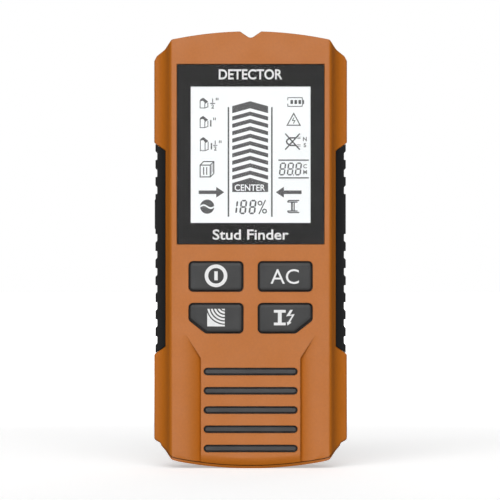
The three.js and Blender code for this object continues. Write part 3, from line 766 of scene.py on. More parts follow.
def bottom_lip():
    """The rear casing's lower edge, which runs forward under the front casing."""
    lip = prism(casing_outline(0), "Y", -20, PARTING_Y + 1, "lip")
    face = front_skin()
    face.data.transform(Matrix.Translation(Vector((0, LIP_SETBACK * MM, 0))))
    low_part = prism([(-50, -3), (50, -3), (50, 13), (-50, 13)], "Y", -25, 5)
    boolean(lip, [face, low_part], "INTERSECT")
    roll = bottom_roll(FRONT_Y + LIP_SETBACK, 0, 1.5, 0.45)
    return boolean(lip, [prism(casing_outline(FRONT_LIFT - 0.3), "Y", -25, PARTING_Y), roll])


def rear_casing():
    plan = rounded(mirrored([(HALF_WIDTH, PARTING_Y + SEAM), (HALF_WIDTH, BACK_Y, 7.4)]))
    profile = rounded(
        [
            (PARTING_Y + SEAM - 1, -2),
            (9.4, -2),
            (BACK_Y, 5.5, 5),
            (BACK_Y, 179.5, 5),
            (9.4, 187),
            (PARTING_Y + SEAM - 1, 187),
        ]
    )
    body = prism(casing_outline(0), "Y", PARTING_Y + SEAM, BACK_Y + 1, "rear_casing_fine")
    body = boolean(body, [prism(plan, "Z", -3, 190), prism(profile, "X", -50, 50)], "INTERSECT")
    boolean(body, [bottom_lip()], "UNION")
    pads = []
    for name in PAD_NAMES:
        (wide, tall), centre = face_of(name)
        pads.append(prism(rounded_box(wide + 0.4, tall + 0.4, 2.2, centre), "Y", BACK_Y - 0.3, 20))
    heads = [rounded_box(6.2, 6.2, 3.09, face_of(name)[1]) for name in SCREW_NAMES]
    half_door = DOOR_HALF + DOOR_GAP
    doorway = (2 * half_door, HINGE_Z + BARREL_RADIUS - DOOR_LOW.z + 2 * DOOR_GAP)
    doorway_mid = (HINGE_Z + BARREL_RADIUS + DOOR_LOW.z) / 2
    mid = (0, CASING_MID_Z)
    tools = [
        prism(rounded_box(72.6, 168, 3, mid), "Y", -12, 9.6),
        prism(rounded_box(66, 160, 3, mid), "Y", -12, BACK_SKIN_Y),
        prism(rounded_box(*doorway, 2.2, (0, doorway_mid)), "Y", DOOR_INNER_Y - SEAM, 20),
        prism(rounded_box(*BATTERY_WELL, 1, (0, BATTERY_WELL_MID_Z)), "Y", BATTERY_WELL_FLOOR_Y, 20),
        prism(circle(BARREL_RADIUS + 0.4, (HINGE_Y, HINGE_Z)), "X", -half_door, half_door),
        prism(rounded_box(12, 12, 5.99, (0, DOOR_LOW.z + 1.6)), "Y", BACK_Y - 1.3, 20),
        *pads,
        *[prism(outline, "Y", 9, 20) for outline in heads],
        *mirror_pair(lambda: grip_seat(SEAT_GAP)),
        side_key_opening(-45, -34),
    ]
    body = boolean(body, tools)
    soften(body, 0.25, lambda edge: is_rim(edge, 1) and middle(edge).y > BACK_Y - 0.5)
    return finished(body, "rear_casing_fine", MATERIALS["casing"], replaces=["rear_casing"])


front_casing()
rear_casing()

# ------------------------------------------------------------------ printed artwork


class Artwork:
    """Flat shapes drawn in the front view, in millimetres, and given a thickness at the end."""

    def __init__(self):
        self.shapes = []

    def area(self, points):
        """A filled polygon."""
        self.shapes.append(([tuple(p) for p in points], [tuple(range(len(points)))]))

    def line(self, points, width, closed=False):
        """A mitred line of even width."""
        spots = [Vector(p) for p in points]
        count = len(spots)
        sides = []
        for i, here in enumerate(spots):
            before = spots[i - 1] if i or closed else None
            after = spots[(i + 1) % count] if i < count - 1 or closed else None
            ways = [(here - before).normalized()] if before else []
            ways += [(after - here).normalized()] if after else []
            across = sum((Vector((-w.y, w.x)) for w in ways), Vector((0, 0))).normalized()
            reach = width / 2 / max(0.35, across.dot(Vector((-ways[0].y, ways[0].x))))
            sides.append((here + across * reach, here - across * reach))
        flat = [tuple(p) for pair in sides for p in pair]
        steps = range(count if closed else count - 1)
        faces = [(2 * i, 2 * i + 1, (2 * i + 3) % (2 * count), (2 * i + 2) % (2 * count)) for i in steps]
        self.shapes.append((flat, faces))

    def rectangle(self, x0, z0, x1, z1):
        self.area([(x0, z0), (x1, z0), (x1, z1), (x0, z1)])

    def arc(self, centre, radius, width, start, end, steps=24):
        closed = abs(end - start) >= 360
        count = steps if closed else steps + 1
        turns = [math.radians(start + (end - start) * k / steps) for k in range(count)]
        ring = [(centre[0] + radius * math.cos(a), centre[1] + radius * math.sin(a)) for a in turns]
        self.line(ring, width, closed)

    def text(self, words, cap, at, bold=0.0, width=None):
        """Words whose capitals are cap high, centred on at, squeezed or stretched to a width."""
        curve = bpy.data.curves.new("words", "FONT")
        curve.body = words
        curve.offset = bold
        curve.resolution_u = 4
        holder = bpy.data.objects.new("words", curve)
        graph = bpy.context.evaluated_depsgraph_get()
        bpy.context.scene.collection.objects.link(holder)
        bpy.context.view_layer.update()
        mesh = bpy.data.meshes.new_from_object(holder.evaluated_get(graph))
        low_x, high_x = (pick(v.co.x for v in mesh.vertices) for pick in (min, max))
        scale = cap / CAP_HEIGHT
        stretch = width / (high_x - low_x) if width else scale
        mid = (low_x + high_x) / 2
        spots = [v.co for v in mesh.vertices]
        flat = [(at[0] + (p.x - mid) * stretch, at[1] + (p.y - CAP_HEIGHT / 2) * scale) for p in spots]
        self.shapes.append((flat, [tuple(f.vertices) for f in mesh.polygons]))
        bpy.data.objects.remove(holder)
        bpy.data.meshes.remove(mesh)

    def piece(self, name, face_y, back_y, material, slot, body=ROOT):
        """One mesh of every shape, its printed face at face_y; on the back it is drawn as seen from there."""
        bm = bmesh.new()
        outward = math.copysign(1, face_y - back_y)
        for flat, faces in self.shapes:
            spots = [bm.verts.new((-outward * p[0] * MM, face_y * MM, p[1] * MM)) for p in flat]
            for face in faces:
                corners = [spots[i] for i in face]
                if len(set(corners)) > 2:
                    bm.faces.new(corners)
        bmesh.ops.remove_doubles(bm, verts=bm.verts, dist=0.0005 * MM)
        for face in bm.faces:
            face.normal_update()
            if face.normal.y * outward < 0:
                face.normal_flip()
        made = bmesh.ops.extrude_face_region(bm, geom=bm.faces[:], use_keep_orig=True)
        moved = [g for g in made["geom"] if isinstance(g, bmesh.types.BMVert)]
        bmesh.ops.translate(bm, verts=moved, vec=(0, (back_y - face_y) * MM, 0))
        bmesh.ops.recalc_face_normals(bm, faces=bm.faces)
        mesh = bpy.data.meshes.new(name)
        bm.to_mesh(mesh)
        bm.free()
        made_piece = bpy.data.objects.new(name, mesh)
        bpy.context.scene.collection.objects.link(made_piece)
        return finished(made_piece, name, material, body)


CAP_HEIGHT = 0.729
GAUGE_X = -0.2


def scan_symbol(art, x, z):
    """A square cut into bands by arcs about a point above its right-hand corner."""
    half, rise = 3.72, 1.2
    right, top = x + half, z + half

    def bow(radius):
        start = max(math.asin(rise / radius), math.acos(min(1, 2 * half / radius)))
        turns = [start + (math.pi / 2 - start) * k / 16 for k in range(17)]
        return [(right - radius * math.cos(a), top + rise - radius * math.sin(a)) for a in turns]

    art.area([*bow(1.9), (right, top)])
    for k in range(4):
        inner = 2.4 + 1.4 * k
        art.area([*bow(inner), *reversed(bow(inner + 0.84))])
    art.area([*bow(7.95), (right, top - 2 * half), (right - 2 * half, top - 2 * half)])


def key_symbol(name, art, centre):
    """Draws the white symbol of one key around its centre."""
    x, z = centre[0], centre[1] + 0.3
    if name == "power":
        art.arc((x, z), 4.05, 1.5, 0, 360, 48)
        art.rectangle(x - 0.72, z - 1.9, x + 0.72, z + 1.9)
    elif name == "ac":
        art.text("AC", 6.5, (x - 0.2, z - 0.1), width=12.0)
    elif name == "stud":
        scan_symbol(art, x, z)
    else:
        left = x - 4.8
        for low in (z - 3.25, z + 2.1):
            art.rectangle(left, low, left + 5, low + 1.15)
        art.rectangle(left + 1.7, z - 2.1, left + 3.3, z + 2.1)
        bolt = [(6.9, 3.3), (5.2, 0.55), (7.7, 0.85), (6.1, -1.75), (5.5, -2.0), (5.75, -3.35),
                (7.45, -2.1), (6.85, -1.9), (8.8, 1.5), (6.85, 1.2), (8.05, 3.3)]
        art.area([(left + u, z + v) for u, v in bolt])


def stacked(outline_at, levels, name, axis="Y"):
    """Closed solid through outlines with the same number of points; levels are (grow, place on the axis)."""
    rings = [[place(p[0], p[1], w, axis) for p in outline_at(grow)] for grow, w in levels]
    count = len(rings[0])
    points = [p for ring in rings for p in ring]
    faces = [tuple(range(count)), tuple(range(len(points) - count, len(points)))]
    for r in range(len(rings) - 1):
        for i in range(count):
            j = (i + 1) % count
            faces.append((r * count + i, r * count + j, (r + 1) * count + j, (r + 1) * count + i))
    return build_mesh(name, points, faces)


def key_caps():
    for name, key in KEYS.items():
        face = key["face"] + 0.05
        fillet = 0.55

        def outline(grow, key=key):
            return at_centre(key_outline(key["side"], key["lower"], max(grow, 0.05 - KEY_CORNER)), key["at"])

        arc = [math.radians(a) for a in (0, 18, 36, 54, 72)]
        rim = [(-KEY_GAP - fillet * (1 - math.cos(a)), face + 0.12 + fillet * (1 - math.sin(a))) for a in arc]
        dome = ((0.15, 0.03), (0.6, 0.09), (1.2, 0.12))
        crown = [(-KEY_GAP - fillet - inset, face + 0.12 - rise) for inset, rise in dome]
        flange = 1.2 - KEY_GAP
        levels = [(flange, SKIN_Y + 1.2), (flange, SKIN_Y + 0.2), (-KEY_GAP, SKIN_Y + 0.2), *rim, *crown]
        cap = stacked(outline, levels, f"key_{name}_cap")
        body = f"key_{name}_body"
        finished(cap, f"key_{name}_cap", MATERIALS["key"], body, [f"key_{name}"])
        art = Artwork()
        key_symbol(name, art, key["at"])
        art.piece(f"key_{name}_print", key["face"], face + 0.02, MATERIALS["key_ink"], "key_rubber", body)


key_caps()

# ------------------------------------------------------------------ grips and side key


def groove(z_top, z_bottom, sloped_top):
    """Cutter for one groove between two ribs: one flank square, the other at 45 degrees."""
    face, deep = GRIP_HIGH.x, GRIP_HIGH.x - 0.78
    out = face + 1.5
    run = out - deep
    top = [(out, z_top + run), (deep, z_top)] if sloped_top else [(out, z_top), (deep, z_top)]
    bottom = [(deep, z_bottom), (out, z_bottom)] if sloped_top else [(deep, z_bottom), (out, z_bottom - run)]
    return prism([*top, *bottom], "Y", -14, GRIP_HIGH.y + 2)


def grip(side):
    skin = [tuple(p) for p in cove() if p.x > GRIP_LOW.x and p.x < GRIP_HIGH.x - 0.1]
    edge_y = skin[0][1]
    first = [(GRIP_LOW.x, edge_y + 0.03), *skin]
    last = Vector(skin[-1])
    face, back = GRIP_HIGH.x, GRIP_HIGH.y
    section = [
        *first,
        (face - 0.12, last.y + 0.25),
        (face, last.y + 0.7),
        (face, back - 0.5),
        (face - 0.15, back - 0.15),
        (face - 0.5, back),
        (face - 1.9, back),
        (face - 1.9, -8.2),
        (GRIP_LOW.x, -9.2),
    ]
    slope = 3
    outline = [
        (GRIP_LOW.x, GRIP_LOW.z + slope),
        (face + 2, GRIP_LOW.z + slope - (face + 2 - GRIP_LOW.x) * slope / (face - GRIP_LOW.x)),
        (face + 2, GRIP_HIGH.z - slope + (face + 2 - GRIP_LOW.x) * slope / (face - GRIP_LOW.x)),
        (GRIP_LOW.x, GRIP_HIGH.z - slope),
    ]
    body = boolean(prism(section, "Z", 0, 180, "grip"), [prism(outline, "Y", -25, 25)], "INTERSECT")
    height, pitch = 2.9, 7.26
    upper = [groove(z + height / 2, z - height / 2, True) for z in (132.3, 125.05, 117.8)]
    lower = [groove(z + height / 2, z - height / 2, False) for z in (97.9 - k * pitch for k in range(7))]
    tools = [*upper, *lower]
    if side < 0:
        tools.append(side_key_opening(34, 45))
    boolean(body, tools)
    soften(body, 0.22, segments=2, sharper_than=35)
    name = "left_grip" if side < 0 else "right_grip"
    if side < 0:
        flip_x(body)
    return finished(body, f"{name}_fine", MATERIALS["grip"], replaces=[name])


def side_key():
    low, high = SIDE_KEY_LOW, SIDE_KEY_HIGH
    fillet = 0.6

    def outline(grow):
        return side_key_outline(2 * grow, max(0.05, SIDE_KEY_CORNER + min(grow, 0.4)))

    arc = [math.radians(a) for a in (0, 22, 45, 68, 90)]
    rim = [(-fillet * (1 - math.cos(a)), low.x + fillet * (1 - math.sin(a))) for a in arc]
    dish = [(-fillet - 0.4, low.x + 0.02), (-fillet - 1.2, low.x + 0.22), (-fillet - 2.0, low.x + 0.32)]
    levels = [(0.6, high.x), (0.6, high.x - 1), (0, high.x - 1), *rim, *dish]
    body = stacked(outline, levels, "side_key_cap", "X")
    finished(body, "side_key_cap", MATERIALS["grip"], "key_side_body", ["key_side"])


grip(1)
grip(-1)
side_key()

# ------------------------------------------------------------------ window, display and inlay


def window():
    size = (LENS_HIGH.x - LENS_LOW.x, LENS_HIGH.z - LENS_LOW.z)
    centre = (0, (LENS_HIGH.z + LENS_LOW.z) / 2)
    lens = prism(rounded_box(*size, 0.5, centre), "Y", LENS_LOW.y, LENS_HIGH.y, "display_lens_fine")
    soften(lens, 0.12, segments=2)
    finished(lens, "display_lens_fine", MATERIALS["lens"], replaces=["display_lens"])
    art = Artwork()
    art.text("DETECTOR", 4.3, (0, 167.1), bold=0.022, width=27)
    art.text("Stud Finder", 4.4, (0, 99.2), bold=0.016, width=32.2)
    art.piece("lens_print", MASK_LOW.y - 0.035, MASK_LOW.y, MATERIALS["ink"], "lens_print")


def digit(art, corner, size, lit, width=0.5, slant=0.12):
    """Seven-segment figure whose lower left corner is at corner; lit names its segments a to g."""
    wide, tall = size
    gap = 0.1
    h = width / 2
    left, right, low, mid, high = h, wide - h, h, tall / 2, tall - h
    bars = {
        "a": ((left, high), (right, high)),
        "b": ((right, high), (right, mid)),
        "c": ((right, mid), (right, low)),
        "d": ((left, low), (right, low)),
        "e": ((left, mid), (left, low)),
        "f": ((left, high), (left, mid)),
        "g": ((left, mid), (right, mid)),
    }
    for name in lit:
        start, end = (Vector(p) for p in bars[name])
        way = (end - start).normalized()
        across = Vector((-way.y, way.x)) * h
        a, b = start + way * gap, end - way * gap
        near, far = a + way * h, b - way * h
        hexagon = [a, near + across, far + across, b, far - across, near - across]
        art.area([(corner[0] + p.x + slant * p.y, corner[1] + p.y) for p in hexagon])


def chevron(art, mid, peak, rise, half, thick):
    art.area(
        [
            (mid - half, peak - rise),
            (mid, peak),
            (mid + half, peak - rise),
            (mid + half, peak - rise - thick),
            (mid, peak - thick),
            (mid - half, peak - rise - thick),
        ]
    )


def arrow(art, tip, tail, z, head=3.4):
    """Block arrow along the display from tail to tip."""
    way = math.copysign(1, tip - tail)
    neck = tip - way * head
    shaft, barb = 0.75, 2.3
    art.area([(tail, z - shaft), (neck, z - shaft), (neck, z - barb), (tip, z), (neck, z + barb),
              (neck, z + shaft), (tail, z + shaft)])


def stud_block(art, x, low, height):
    """Timber stud seen from one corner, with a shaded top."""
    wide, turn = 3.3, 2.0
    top = low + height
    art.line([(x, top - 1.2), (x, low), (x + turn, low), (x + wide, low + 0.5), (x + wide, top - 2.1)], 0.35)
    art.line([(x + turn, low), (x + turn, top - 2.4)], 0.35)
    art.area([(x - 0.1, top - 0.9), (x + 1.3, top), (x + wide + 0.1, top - 1.7), (x + turn + 0.2, top - 2.6),
              (x + 1.3, top - 1.3), (x + 0.2, top - 1.5)])


def gauge(art):
    """Rows of chevrons between two rules, over the plate that holds the word."""
    for side in (-1, 1):
        art.rectangle(GAUGE_X + side * 9.2 - 0.33, -25.9, GAUGE_X + side * 9.2 + 0.33, 20.6)
    chevron(art, GAUGE_X, 23.1, 2.1, 7.6, 3.0)
    for k in range(9):
        chevron(art, GAUGE_X, 18.7 - 3.13 * k, 2.1, 7.6, 1.7)
    left, right = GAUGE_X - 7.6, GAUGE_X + 7.6
    art.area([(left, -15.4), (left, -11.6), (GAUGE_X, -9.4), (right, -11.6), (right, -15.4)])


def percentage(art):
    """Signal strength: three figures and a percent sign."""
    for left, lit in ((-8.75, "bc"), (-4.9, "abcdefg"), (-0.95, "abcdefg")):
        digit(art, (left, -24.8), (2.85, 6.1), lit, 0.72)
    art.arc((4.0, -20.1), 0.8, 0.5, 0, 360, 16)
    art.arc((5.9, -23.5), 0.8, 0.5, 0, 360, 16)
    art.line([(3.5, -24.8), (6.3, -18.8)], 0.5)


def depth_marks(art):
    """Three studs of growing size, each with its depth in inches."""
    stud_block(art, -21.4, 20.2, 4.4)
    stud_block(art, -21.4, 11.9, 5.0)
    stud_block(art, -21.3, 2.1, 5.8)
    for x, z, words, cap in (
        (-16.1, 23.4, "1", 1.7),
        (-16.1, 20.9, "2", 1.7),
        (-16.9, 13.8, "1", 2.6),
        (-16.6, 4.1, "1", 2.6),
        (-15.0, 5.6, "1", 1.7),
        (-15.0, 3.1, "2", 1.7),
    ):
        art.text(words, cap, (x, z), bold=0.035)
    art.rectangle(-17.2, 21.94, -15.0, 22.34)
    art.rectangle(-15.9, 4.15, -14.1, 4.5)
    for x, z in ((-14.2, 24.0), (-15.3, 15.6), (-12.9, 5.9)):
        art.rectangle(x - 0.55, z - 0.55, x - 0.15, z + 0.55)
        art.rectangle(x + 0.15, z - 0.55, x + 0.55, z + 0.55)


def timber_crate(art):
    """Box seen from one corner, for the deep scan."""
    left, low, wide, tall, lean = -21.4, -9.0, 4.3, 5.0, 1.5
    front = [(left, low), (left + wide, low), (left + wide, low + tall), (left, low + tall)]
    art.line(front, 0.45, closed=True)
    art.line([(left, low + tall), (left + lean, low + tall + lean), (left + wide + lean, low + tall + lean),
              (left + wide + lean, low + lean), (left + wide, low)], 0.45)
    art.line([(left + wide, low + tall), (left + wide + lean, low + tall + lean)], 0.45)
    for u in (1.5, 2.8):
        art.rectangle(left + u - 0.22, low + 0.9, left + u + 0.22, low + 4.2)
    for u in (0.45, 1.05):
        art.line([(left + wide + u, low + u + 0.9), (left + wide + u, low + tall + u - 0.6)], 0.2)


def pointers(art):
    """Arrows on both sides of the word."""
    arrow(art, -11.2, -22.0, -15.5)
    arrow(art, 10.7, 21.6, -15.5)


def wave_disc(art):
    """Disc parted by a wave, for alternating current."""
    disc, radius = Vector((-18.4, -21.6)), 3.0
    stations = [radius * (k / 8 - 1) for k in range(17)]
    wave = [Vector((u, 0.62 * math.sin(-math.pi * u / radius))) for u in stations]
    for side in (1, -1):
        start = math.atan2(side * 0.3, radius)
        sweep = side * math.pi - 2 * start
        rim = [start + sweep * k / 20 for k in range(21)]
        bow = [disc + radius * Vector((math.cos(a), math.sin(a))) for a in rim]
        inner = [disc + p + Vector((0, side * 0.38)) for p in wave[1:-1]]
        art.area([*bow, *inner])


def battery_level(art):
    """Battery outline with three bars."""
    battery_left, battery_low = 15.5, 20.7
    art.line([(battery_left + 0.2, battery_low + 1.3), (battery_left + 0.3, battery_low + 0.2),
              (battery_left + 6.3, battery_low + 0.2), (battery_left + 6.5, battery_low + 1.2),
              (battery_left + 6.5, battery_low + 2.9), (battery_left + 6.3, battery_low + 3.9),
              (battery_left + 0.3, battery_low + 3.9), (battery_left + 0.2, battery_low + 2.8)], 0.35)
    art.rectangle(battery_left + 6.6, battery_low + 1.2, battery_left + 7.15, battery_low + 2.9)
    for k in range(3):
        bar = battery_left + 1.4 + 1.7 * k
        art.rectangle(bar, battery_low + 1.2, bar + 1.1, battery_low + 2.9)


def live_triangle(art):
    """Triangle with a spark."""
    art.line([(15.5, 12.9), (21.0, 12.9), (18.25, 17.9)], 0.45, closed=True)
    art.line([(18.4, 16.2), (17.7, 14.9), (18.8, 14.9), (18.1, 13.6)], 0.36)


def crossed_plug(art):
    """Crossed-out plug, with the letters of its two poles."""
    cross = Vector((17.75, 5.95))
    art.line([(cross.x + 1.7, cross.y + 1.6), (cross.x - 0.9, cross.y + 1.6), (cross.x - 2.2, cross.y + 0.8),
              (cross.x - 2.55, cross.y), (cross.x - 2.2, cross.y - 0.8), (cross.x - 0.9, cross.y - 1.6),
              (cross.x + 1.7, cross.y - 1.6)], 0.62)
    for way in (-1, 1):
        art.line([(cross.x - 3.1, cross.y - way * 3.4), (cross.x + 3.1, cross.y + way * 3.4)], 0.58)
        art.line([(cross.x + 1.9, cross.y + way * 1.3), (cross.x + 3.4, cross.y + way * 1.3)], 0.25)
        art.line([(cross.x + 1.9, cross.y + way * 1.9), (cross.x + 3.4, cross.y + way * 1.9)], 0.25)
    art.text("N", 1.7, (23.0, 7.1), bold=0.03)
    art.text("S", 1.7, (23.0, 4.5), bold=0.03)


def distance_figures(art):
    """Three figures between two rules, with their unit."""
    for z in (-1.9, -9.4):
        art.rectangle(11.8, z - 0.28, 24.6, z + 0.28)
    for k in range(3):
        digit(art, (11.9 + 3.35 * k, -8.4), (2.6, 5.5), "abcdefg", 0.6)
    art.rectangle(17.95, -8.4, 18.4, -7.95)
    art.text("C", 1.7, (23.1, -4.4), bold=0.02)
    art.text("M", 1.7, (23.1, -6.9), bold=0.02)


def steel_beam(art):
    """Steel beam seen from its end."""
    beam = Vector((18.0, -21.55))
    for way in (-1, 1):
        art.line([(beam.x - 2.4, beam.y + way * 2.0), (beam.x - 1.8, beam.y + way * 2.55),
                  (beam.x + 2.6, beam.y + way * 2.55)], 0.5)
        art.line([(beam.x - 2.4, beam.y + way * 1.9), (beam.x + 1.9, beam.y + way * 1.9)], 0.5)
    art.rectangle(beam.x - 0.85, beam.y - 1.8, beam.x - 0.1, beam.y + 1.8)
    art.rectangle(beam.x + 0.2, beam.y - 1.8, beam.x + 0.7, beam.y + 1.8)


def display():
    """Every segment of the display, laid out from its middle."""
    art = Artwork()
    symbols = (
        gauge,
        percentage,
        depth_marks,
        timber_crate,
        pointers,
        wave_disc,
        battery_level,
        live_triangle,
        crossed_plug,
        distance_figures,
        steel_beam,
    )
    for draw in symbols:
        draw(art)
    middle_z = (PANEL_LOW.z + PANEL_HIGH.z) / 2
    for index, (flat, faces) in enumerate(art.shapes):
        art.shapes[index] = ([(x, z + middle_z - 0.4) for x, z in flat], faces)
    face = PANEL_LOW.y - 0.03
    art.piece("lcd_segments", face, PANEL_LOW.y, MATERIALS["segment"], "display")

    label = Artwork()
    label.text("CENTER", 2.75, (GAUGE_X - 0.1, middle_z - 13.85), bold=0.012, width=12.9)
    label.piece("lcd_centre_word", face - 0.02, face - 0.002, MATERIALS["display"], "display")


def inlay():
    left, low, right, high = INLAY_LOW.x, INLAY_LOW.z, INLAY_HIGH.x, INLAY_HIGH.z
    outline = [(left, low), (right, low), (right, high), (left, high)]
    plate = prism(outline, "Y", SKIN_Y + 0.2, INLAY_HIGH.y, "grille_inlay_fine")
    bars = [prism(slot_outline(z, -0.66), "Y", INLAY_LOW.y, SKIN_Y + 0.5) for z in SLOT_HEIGHTS]
    boolean(plate, bars, "UNION")
    soften(plate, 0.25, lambda edge: is_rim(edge, -1) and middle(edge).y < SKIN_Y - 1, segments=3)
    finished(plate, "grille_inlay_fine", MATERIALS["inlay"], replaces=["grille_inlay"])


window()
display()
inlay()

# ------------------------------------------------------------------ back: door, battery, pads, label, screws


def battery_door():
    """Door plate with its hinge barrel, stub pins, finger grooves and an arrow that shows the pull."""
    half, foot = DOOR_HALF, DOOR_LOW.z
    corners = [(-half, foot, 2), (half, foot, 2), (half, HINGE_Z), (-half, HINGE_Z)]
    door = prism(rounded(corners), "Y", DOOR_INNER_Y, BACK_Y, "battery_door_fine")
    barrel = prism(circle(BARREL_RADIUS, (HINGE_Y, HINGE_Z)), "X", -DOOR_HALF, DOOR_HALF)
    pins = prism(circle(PIN_RADIUS, (HINGE_Y, HINGE_Z)), "X", DOOR_LOW.x, DOOR_HIGH.x)
    boolean(door, [barrel, pins], "UNION")
    grooves = [
        prism(rounded_box(15, 1.2, 0.59, (0, DOOR_LOW.z + 4 + 2.4 * k)), "Y", BACK_Y - 0.5, BACK_Y + 1)
        for k in range(5)
    ]
    tip = DOOR_LOW.z + 17
    arrow_cut = prism([(-3.6, tip + 3.4), (0, tip), (3.6, tip + 3.4)], "Y", BACK_Y - 0.3, BACK_Y + 1)
    boolean(door, [*grooves, arrow_cut])
    soften(door, 0.22, lambda edge: is_rim(edge, 1) and middle(edge).y > BACK_Y - 0.2)
    finished(door, "battery_door_fine", MATERIALS["casing"], "battery_door_body", ["battery_door"])


def battery():
    """Nine-volt block: steel can with crimped ends, printed sleeve and two snap terminals."""
    low, high = node_box("battery")
    top = high.z - 2.1
    mid_y = (low.y + high.y) / 2
    wide, deep = high.x - low.x, high.y - low.y

    def block(inset, z0, z1, name):
        return prism(rounded_box(wide - 2 * inset, deep - 2 * inset, 2.2, (0, mid_y)), "Z", z0, z1, name)

    can = block(0.12, low.z, top, "battery_can")
    spread = 6.35
    terminals = [
        prism(circle(2.8, (-spread, mid_y), 28), "Z", top - 0.5, high.z),
        prism(circle(3.1, (spread, mid_y), 6), "Z", top - 0.5, high.z),
    ]
    boolean(can, terminals, "UNION")
    boolean(can, [prism(circle(1.9, (spread, mid_y), 28), "Z", top + 0.4, high.z + 1)])
    soften(can, 0.3, segments=2)
    finished(can, "battery_can", MATERIALS["steel"], replaces=["battery"])
    sleeve = boolean(block(0, low.z + 1.6, top - 1.6, "battery_sleeve"), [block(0.1, low.z, top, "tool")])
    finished(sleeve, "battery_sleeve", MATERIALS["battery"])
    art = Artwork()
    art.text("9V", 9, (0, (low.z + top) / 2), bold=0.02)
    art.text("+", 4, (9.2, top - 5), bold=0.02)
    art.rectangle(-10.4, top - 5.3, -8, top - 4.7)
    for z in (low.z + 5.5, low.z + 7.5):
        art.rectangle(-12, z, 12, z + 0.9)
    art.piece("battery_print", high.y + 0.03, high.y + 0.005, MATERIALS["ink"], "battery")


def glide_pads():
    for name in PAD_NAMES:
        size, centre = face_of(name)
        low, high = node_box(name)
        pad = prism(rounded_box(*size, 2, centre), "Y", low.y, high.y, f"{name}_felt")
        soften(pad, 0.25, lambda edge: is_rim(edge, 1))
        finished(pad, f"{name}_felt", MATERIALS["felt"], replaces=[name])


def rating_label():
    """Foil label with a generic battery diagram and rules."""
    size, centre = face_of("rating_label")
    low, high = node_box("rating_label")
    plate = prism(rounded_box(*size, 2, centre), "Y", low.y, high.y, "rating_label_foil")
    soften(plate, 0.04, lambda edge: is_rim(edge, 1), segments=2)
    finished(plate, "rating_label_foil", MATERIALS["label"], replaces=["rating_label"])
    art = Artwork()
    outline = rounded_box(size[0] - 3, size[1] - 3, 1.2, centre)
    art.line(outline, 0.35, closed=True)
    x, z = centre
    art.line(rounded_box(11, 7, 0.8, (x - 12, z + 6.5)), 0.4, closed=True)
    art.rectangle(x - 6.3, z + 5.2, x - 5.3, z + 7.8)
    art.text("9V", 3.6, (x - 12, z + 6.5), bold=0.01)
    for k in range(5):
        art.rectangle(x - 17.5, z - 1 - 2.6 * k, x + (17.5 if k % 2 else 10.5), z - 0.45 - 2.6 * k)
    art.piece("rating_label_print", high.y + 0.02, high.y + 0.002, MATERIALS["black"], "label")


def casing_screws():
    for name in SCREW_NAMES:
        at = face_of(name)[1]
        low, high = node_box(name)
        head, rise = 2.7, 2.0
        seat = high.y - rise
        dome = [(head * math.cos(a), high.y - 0.8 + 0.8 * math.sin(a)) for a in (0, 0.4, 0.8, 1.2)]
        shank = [(0, low.y), (0.5, low.y), (1.3, low.y + 1.6), (1.3, seat)]
        profile = [*shank, (head, seat), *dome, (0, high.y)]
        body = lathe(profile, at, f"{name}_fine")
        arms = [(3.2, 0.75), (0.75, 3.2)]
        cross = [prism(rounded_box(*arm, 0.1, at), "Y", high.y - 1.1, high.y + 1) for arm in arms]
        boolean(body, cross)
        finished(body, f"{name}_fine", MATERIALS["steel"], replaces=[name])


battery_door()
battery()
glide_pads()
rating_label()
casing_screws()

# ------------------------------------------------------------------ camera, light and floor

CAMERA_DISTANCE = 1.508
FRAME_WIDTH = 0.2129
CAMERA_HEIGHT = 0.09252
AMBIENT = 0.13
FLOOR_GLOW = 0.405
LIGHTS = (
    ("front_light", -5, 17, 2.7, 62),
    ("key_light", -20, 40, 0.5, 44),
    ("fill_light", 24, 36, 0.35, 44),
    ("back_light", 176, 8, 1.7, 60),
)


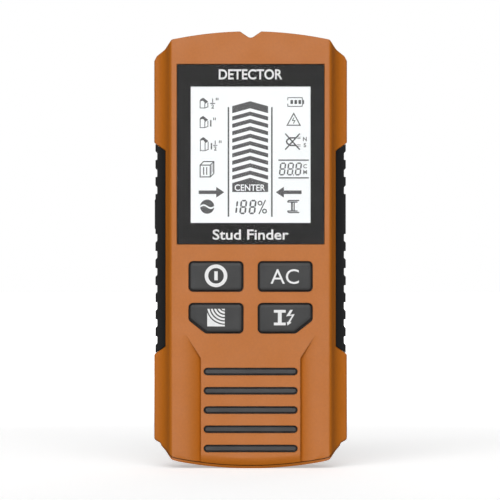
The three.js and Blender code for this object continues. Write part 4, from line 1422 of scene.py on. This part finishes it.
def studio():
    data = bpy.data.cameras.new("camera")
    data.lens = data.sensor_width * CAMERA_DISTANCE / FRAME_WIDTH
    data.clip_end = 20
    camera = bpy.data.objects.new("camera", data)
    camera.location = (-0.00026, PARTING_Y * MM - CAMERA_DISTANCE, CAMERA_HEIGHT)
    camera.rotation_euler = (math.pi / 2, 0, 0)
    bpy.context.scene.collection.objects.link(camera)
    bpy.context.scene.camera = camera

    for name, azimuth, elevation, strength, softness in LIGHTS:
        light = bpy.data.lights.new(name, "SUN")
        light.energy = strength
        light.angle = math.radians(softness)
        lamp = bpy.data.objects.new(name, light)
        turn, rise = math.radians(azimuth), math.radians(elevation)
        spot = Vector((math.sin(turn) * math.cos(rise), -math.cos(turn) * math.cos(rise), math.sin(rise)))
        lamp.location = spot
        lamp.rotation_euler = spot.to_track_quat("Z", "Y").to_euler()
        bpy.context.scene.collection.objects.link(lamp)

    world = bpy.data.worlds.new("studio")
    world.use_nodes = True
    tree = world.node_tree
    seen = tree.nodes["Background"]
    seen.inputs["Color"].default_value = (1, 1, 1, 1)
    seen.inputs["Strength"].default_value = 1.0
    lit = tree.nodes.new("ShaderNodeBackground")
    lit.inputs["Color"].default_value = (1, 1, 1, 1)
    lit.inputs["Strength"].default_value = AMBIENT
    choice = tree.nodes.new("ShaderNodeMixShader")
    ray = tree.nodes.new("ShaderNodeLightPath")
    tree.links.new(ray.outputs["Is Camera Ray"], choice.inputs["Fac"])
    tree.links.new(lit.outputs["Background"], choice.inputs[1])
    tree.links.new(seen.outputs["Background"], choice.inputs[2])
    tree.links.new(choice.outputs["Shader"], tree.nodes["World Output"].inputs["Surface"])
    bpy.context.scene.world = world
    bpy.context.scene.view_settings.view_transform = "Standard"


def floor():
    """Seamless white ground that glows a little less near the object, where soft shadows show."""
    size = 6000
    corners = [(-size, -size, 0), (size, -size, 0), (size, size, 0), (-size, size, 0)]
    piece = build_mesh("floor", corners, [(0, 1, 2, 3)])
    nodes = Nodes("floor_white", (0.9, 0.9, 0.9), 0.9, Specular_IOR_Level=0.0)
    distance = nodes.node("ShaderNodeVectorMath", operation="LENGTH")
    nodes.link(nodes.place, distance.inputs[0])
    glow = nodes.node("ShaderNodeMapRange")
    span = {"From Min": 0.34, "From Max": 0.9, "To Min": FLOOR_GLOW, "To Max": 1.0}
    for socket, value in span.items():
        glow.inputs[socket].default_value = value
    nodes.link(distance.outputs["Value"], glow.inputs["Value"])
    nodes.link(glow.outputs["Result"], nodes.shader.inputs["Emission Strength"])
    nodes.shader.inputs["Emission Color"].default_value = (1, 1, 1, 1)
    tints = [(0.3, (0.895, 0.895, 0.895)), (0.7, (0.905, 0.905, 0.905))]
    nodes.base(nodes.ramp(nodes.noise(400, detail=1), tints))
    piece.data.materials.append(nodes.material)
    piece.visible_diffuse = False
    piece.visible_glossy = False


studio()
floor()

# ------------------------------------------------------------------ inner CAD nodes: materials and edges

SLOT_MATERIALS = {
    "key_rubber": "key",
    "grip_rubber": "grip",
    "lens_print": "mask",
    "backlight": "display",
    "white_plastic": "frame",
    "connector_rubber": "black",
    "screw": "steel",
    "clip": "black",
    "lead_red": "red",
    "lead_black": "black",
}


def dress_inner_nodes():
    """Gives every CAD node that still shows its material and moulded edges."""
    slots = {part["node"]: part["material_slot"] for part in frame["record"]["subparts"]}
    for name, node in frame["nodes"].items():
        if node.hide_render:
            continue
        slot = slots[name]
        node.data.materials.clear()
        node.data.materials.append(MATERIALS[SLOT_MATERIALS.get(slot, slot)])
        edges = node.modifiers.new("moulded_edges", "BEVEL")
        edges.width = 0.12 * MM
        edges.segments = 2
        edges.limit_method = "ANGLE"
        edges.angle_limit = math.radians(40)
        edges.harden_normals = True


dress_inner_nodes()
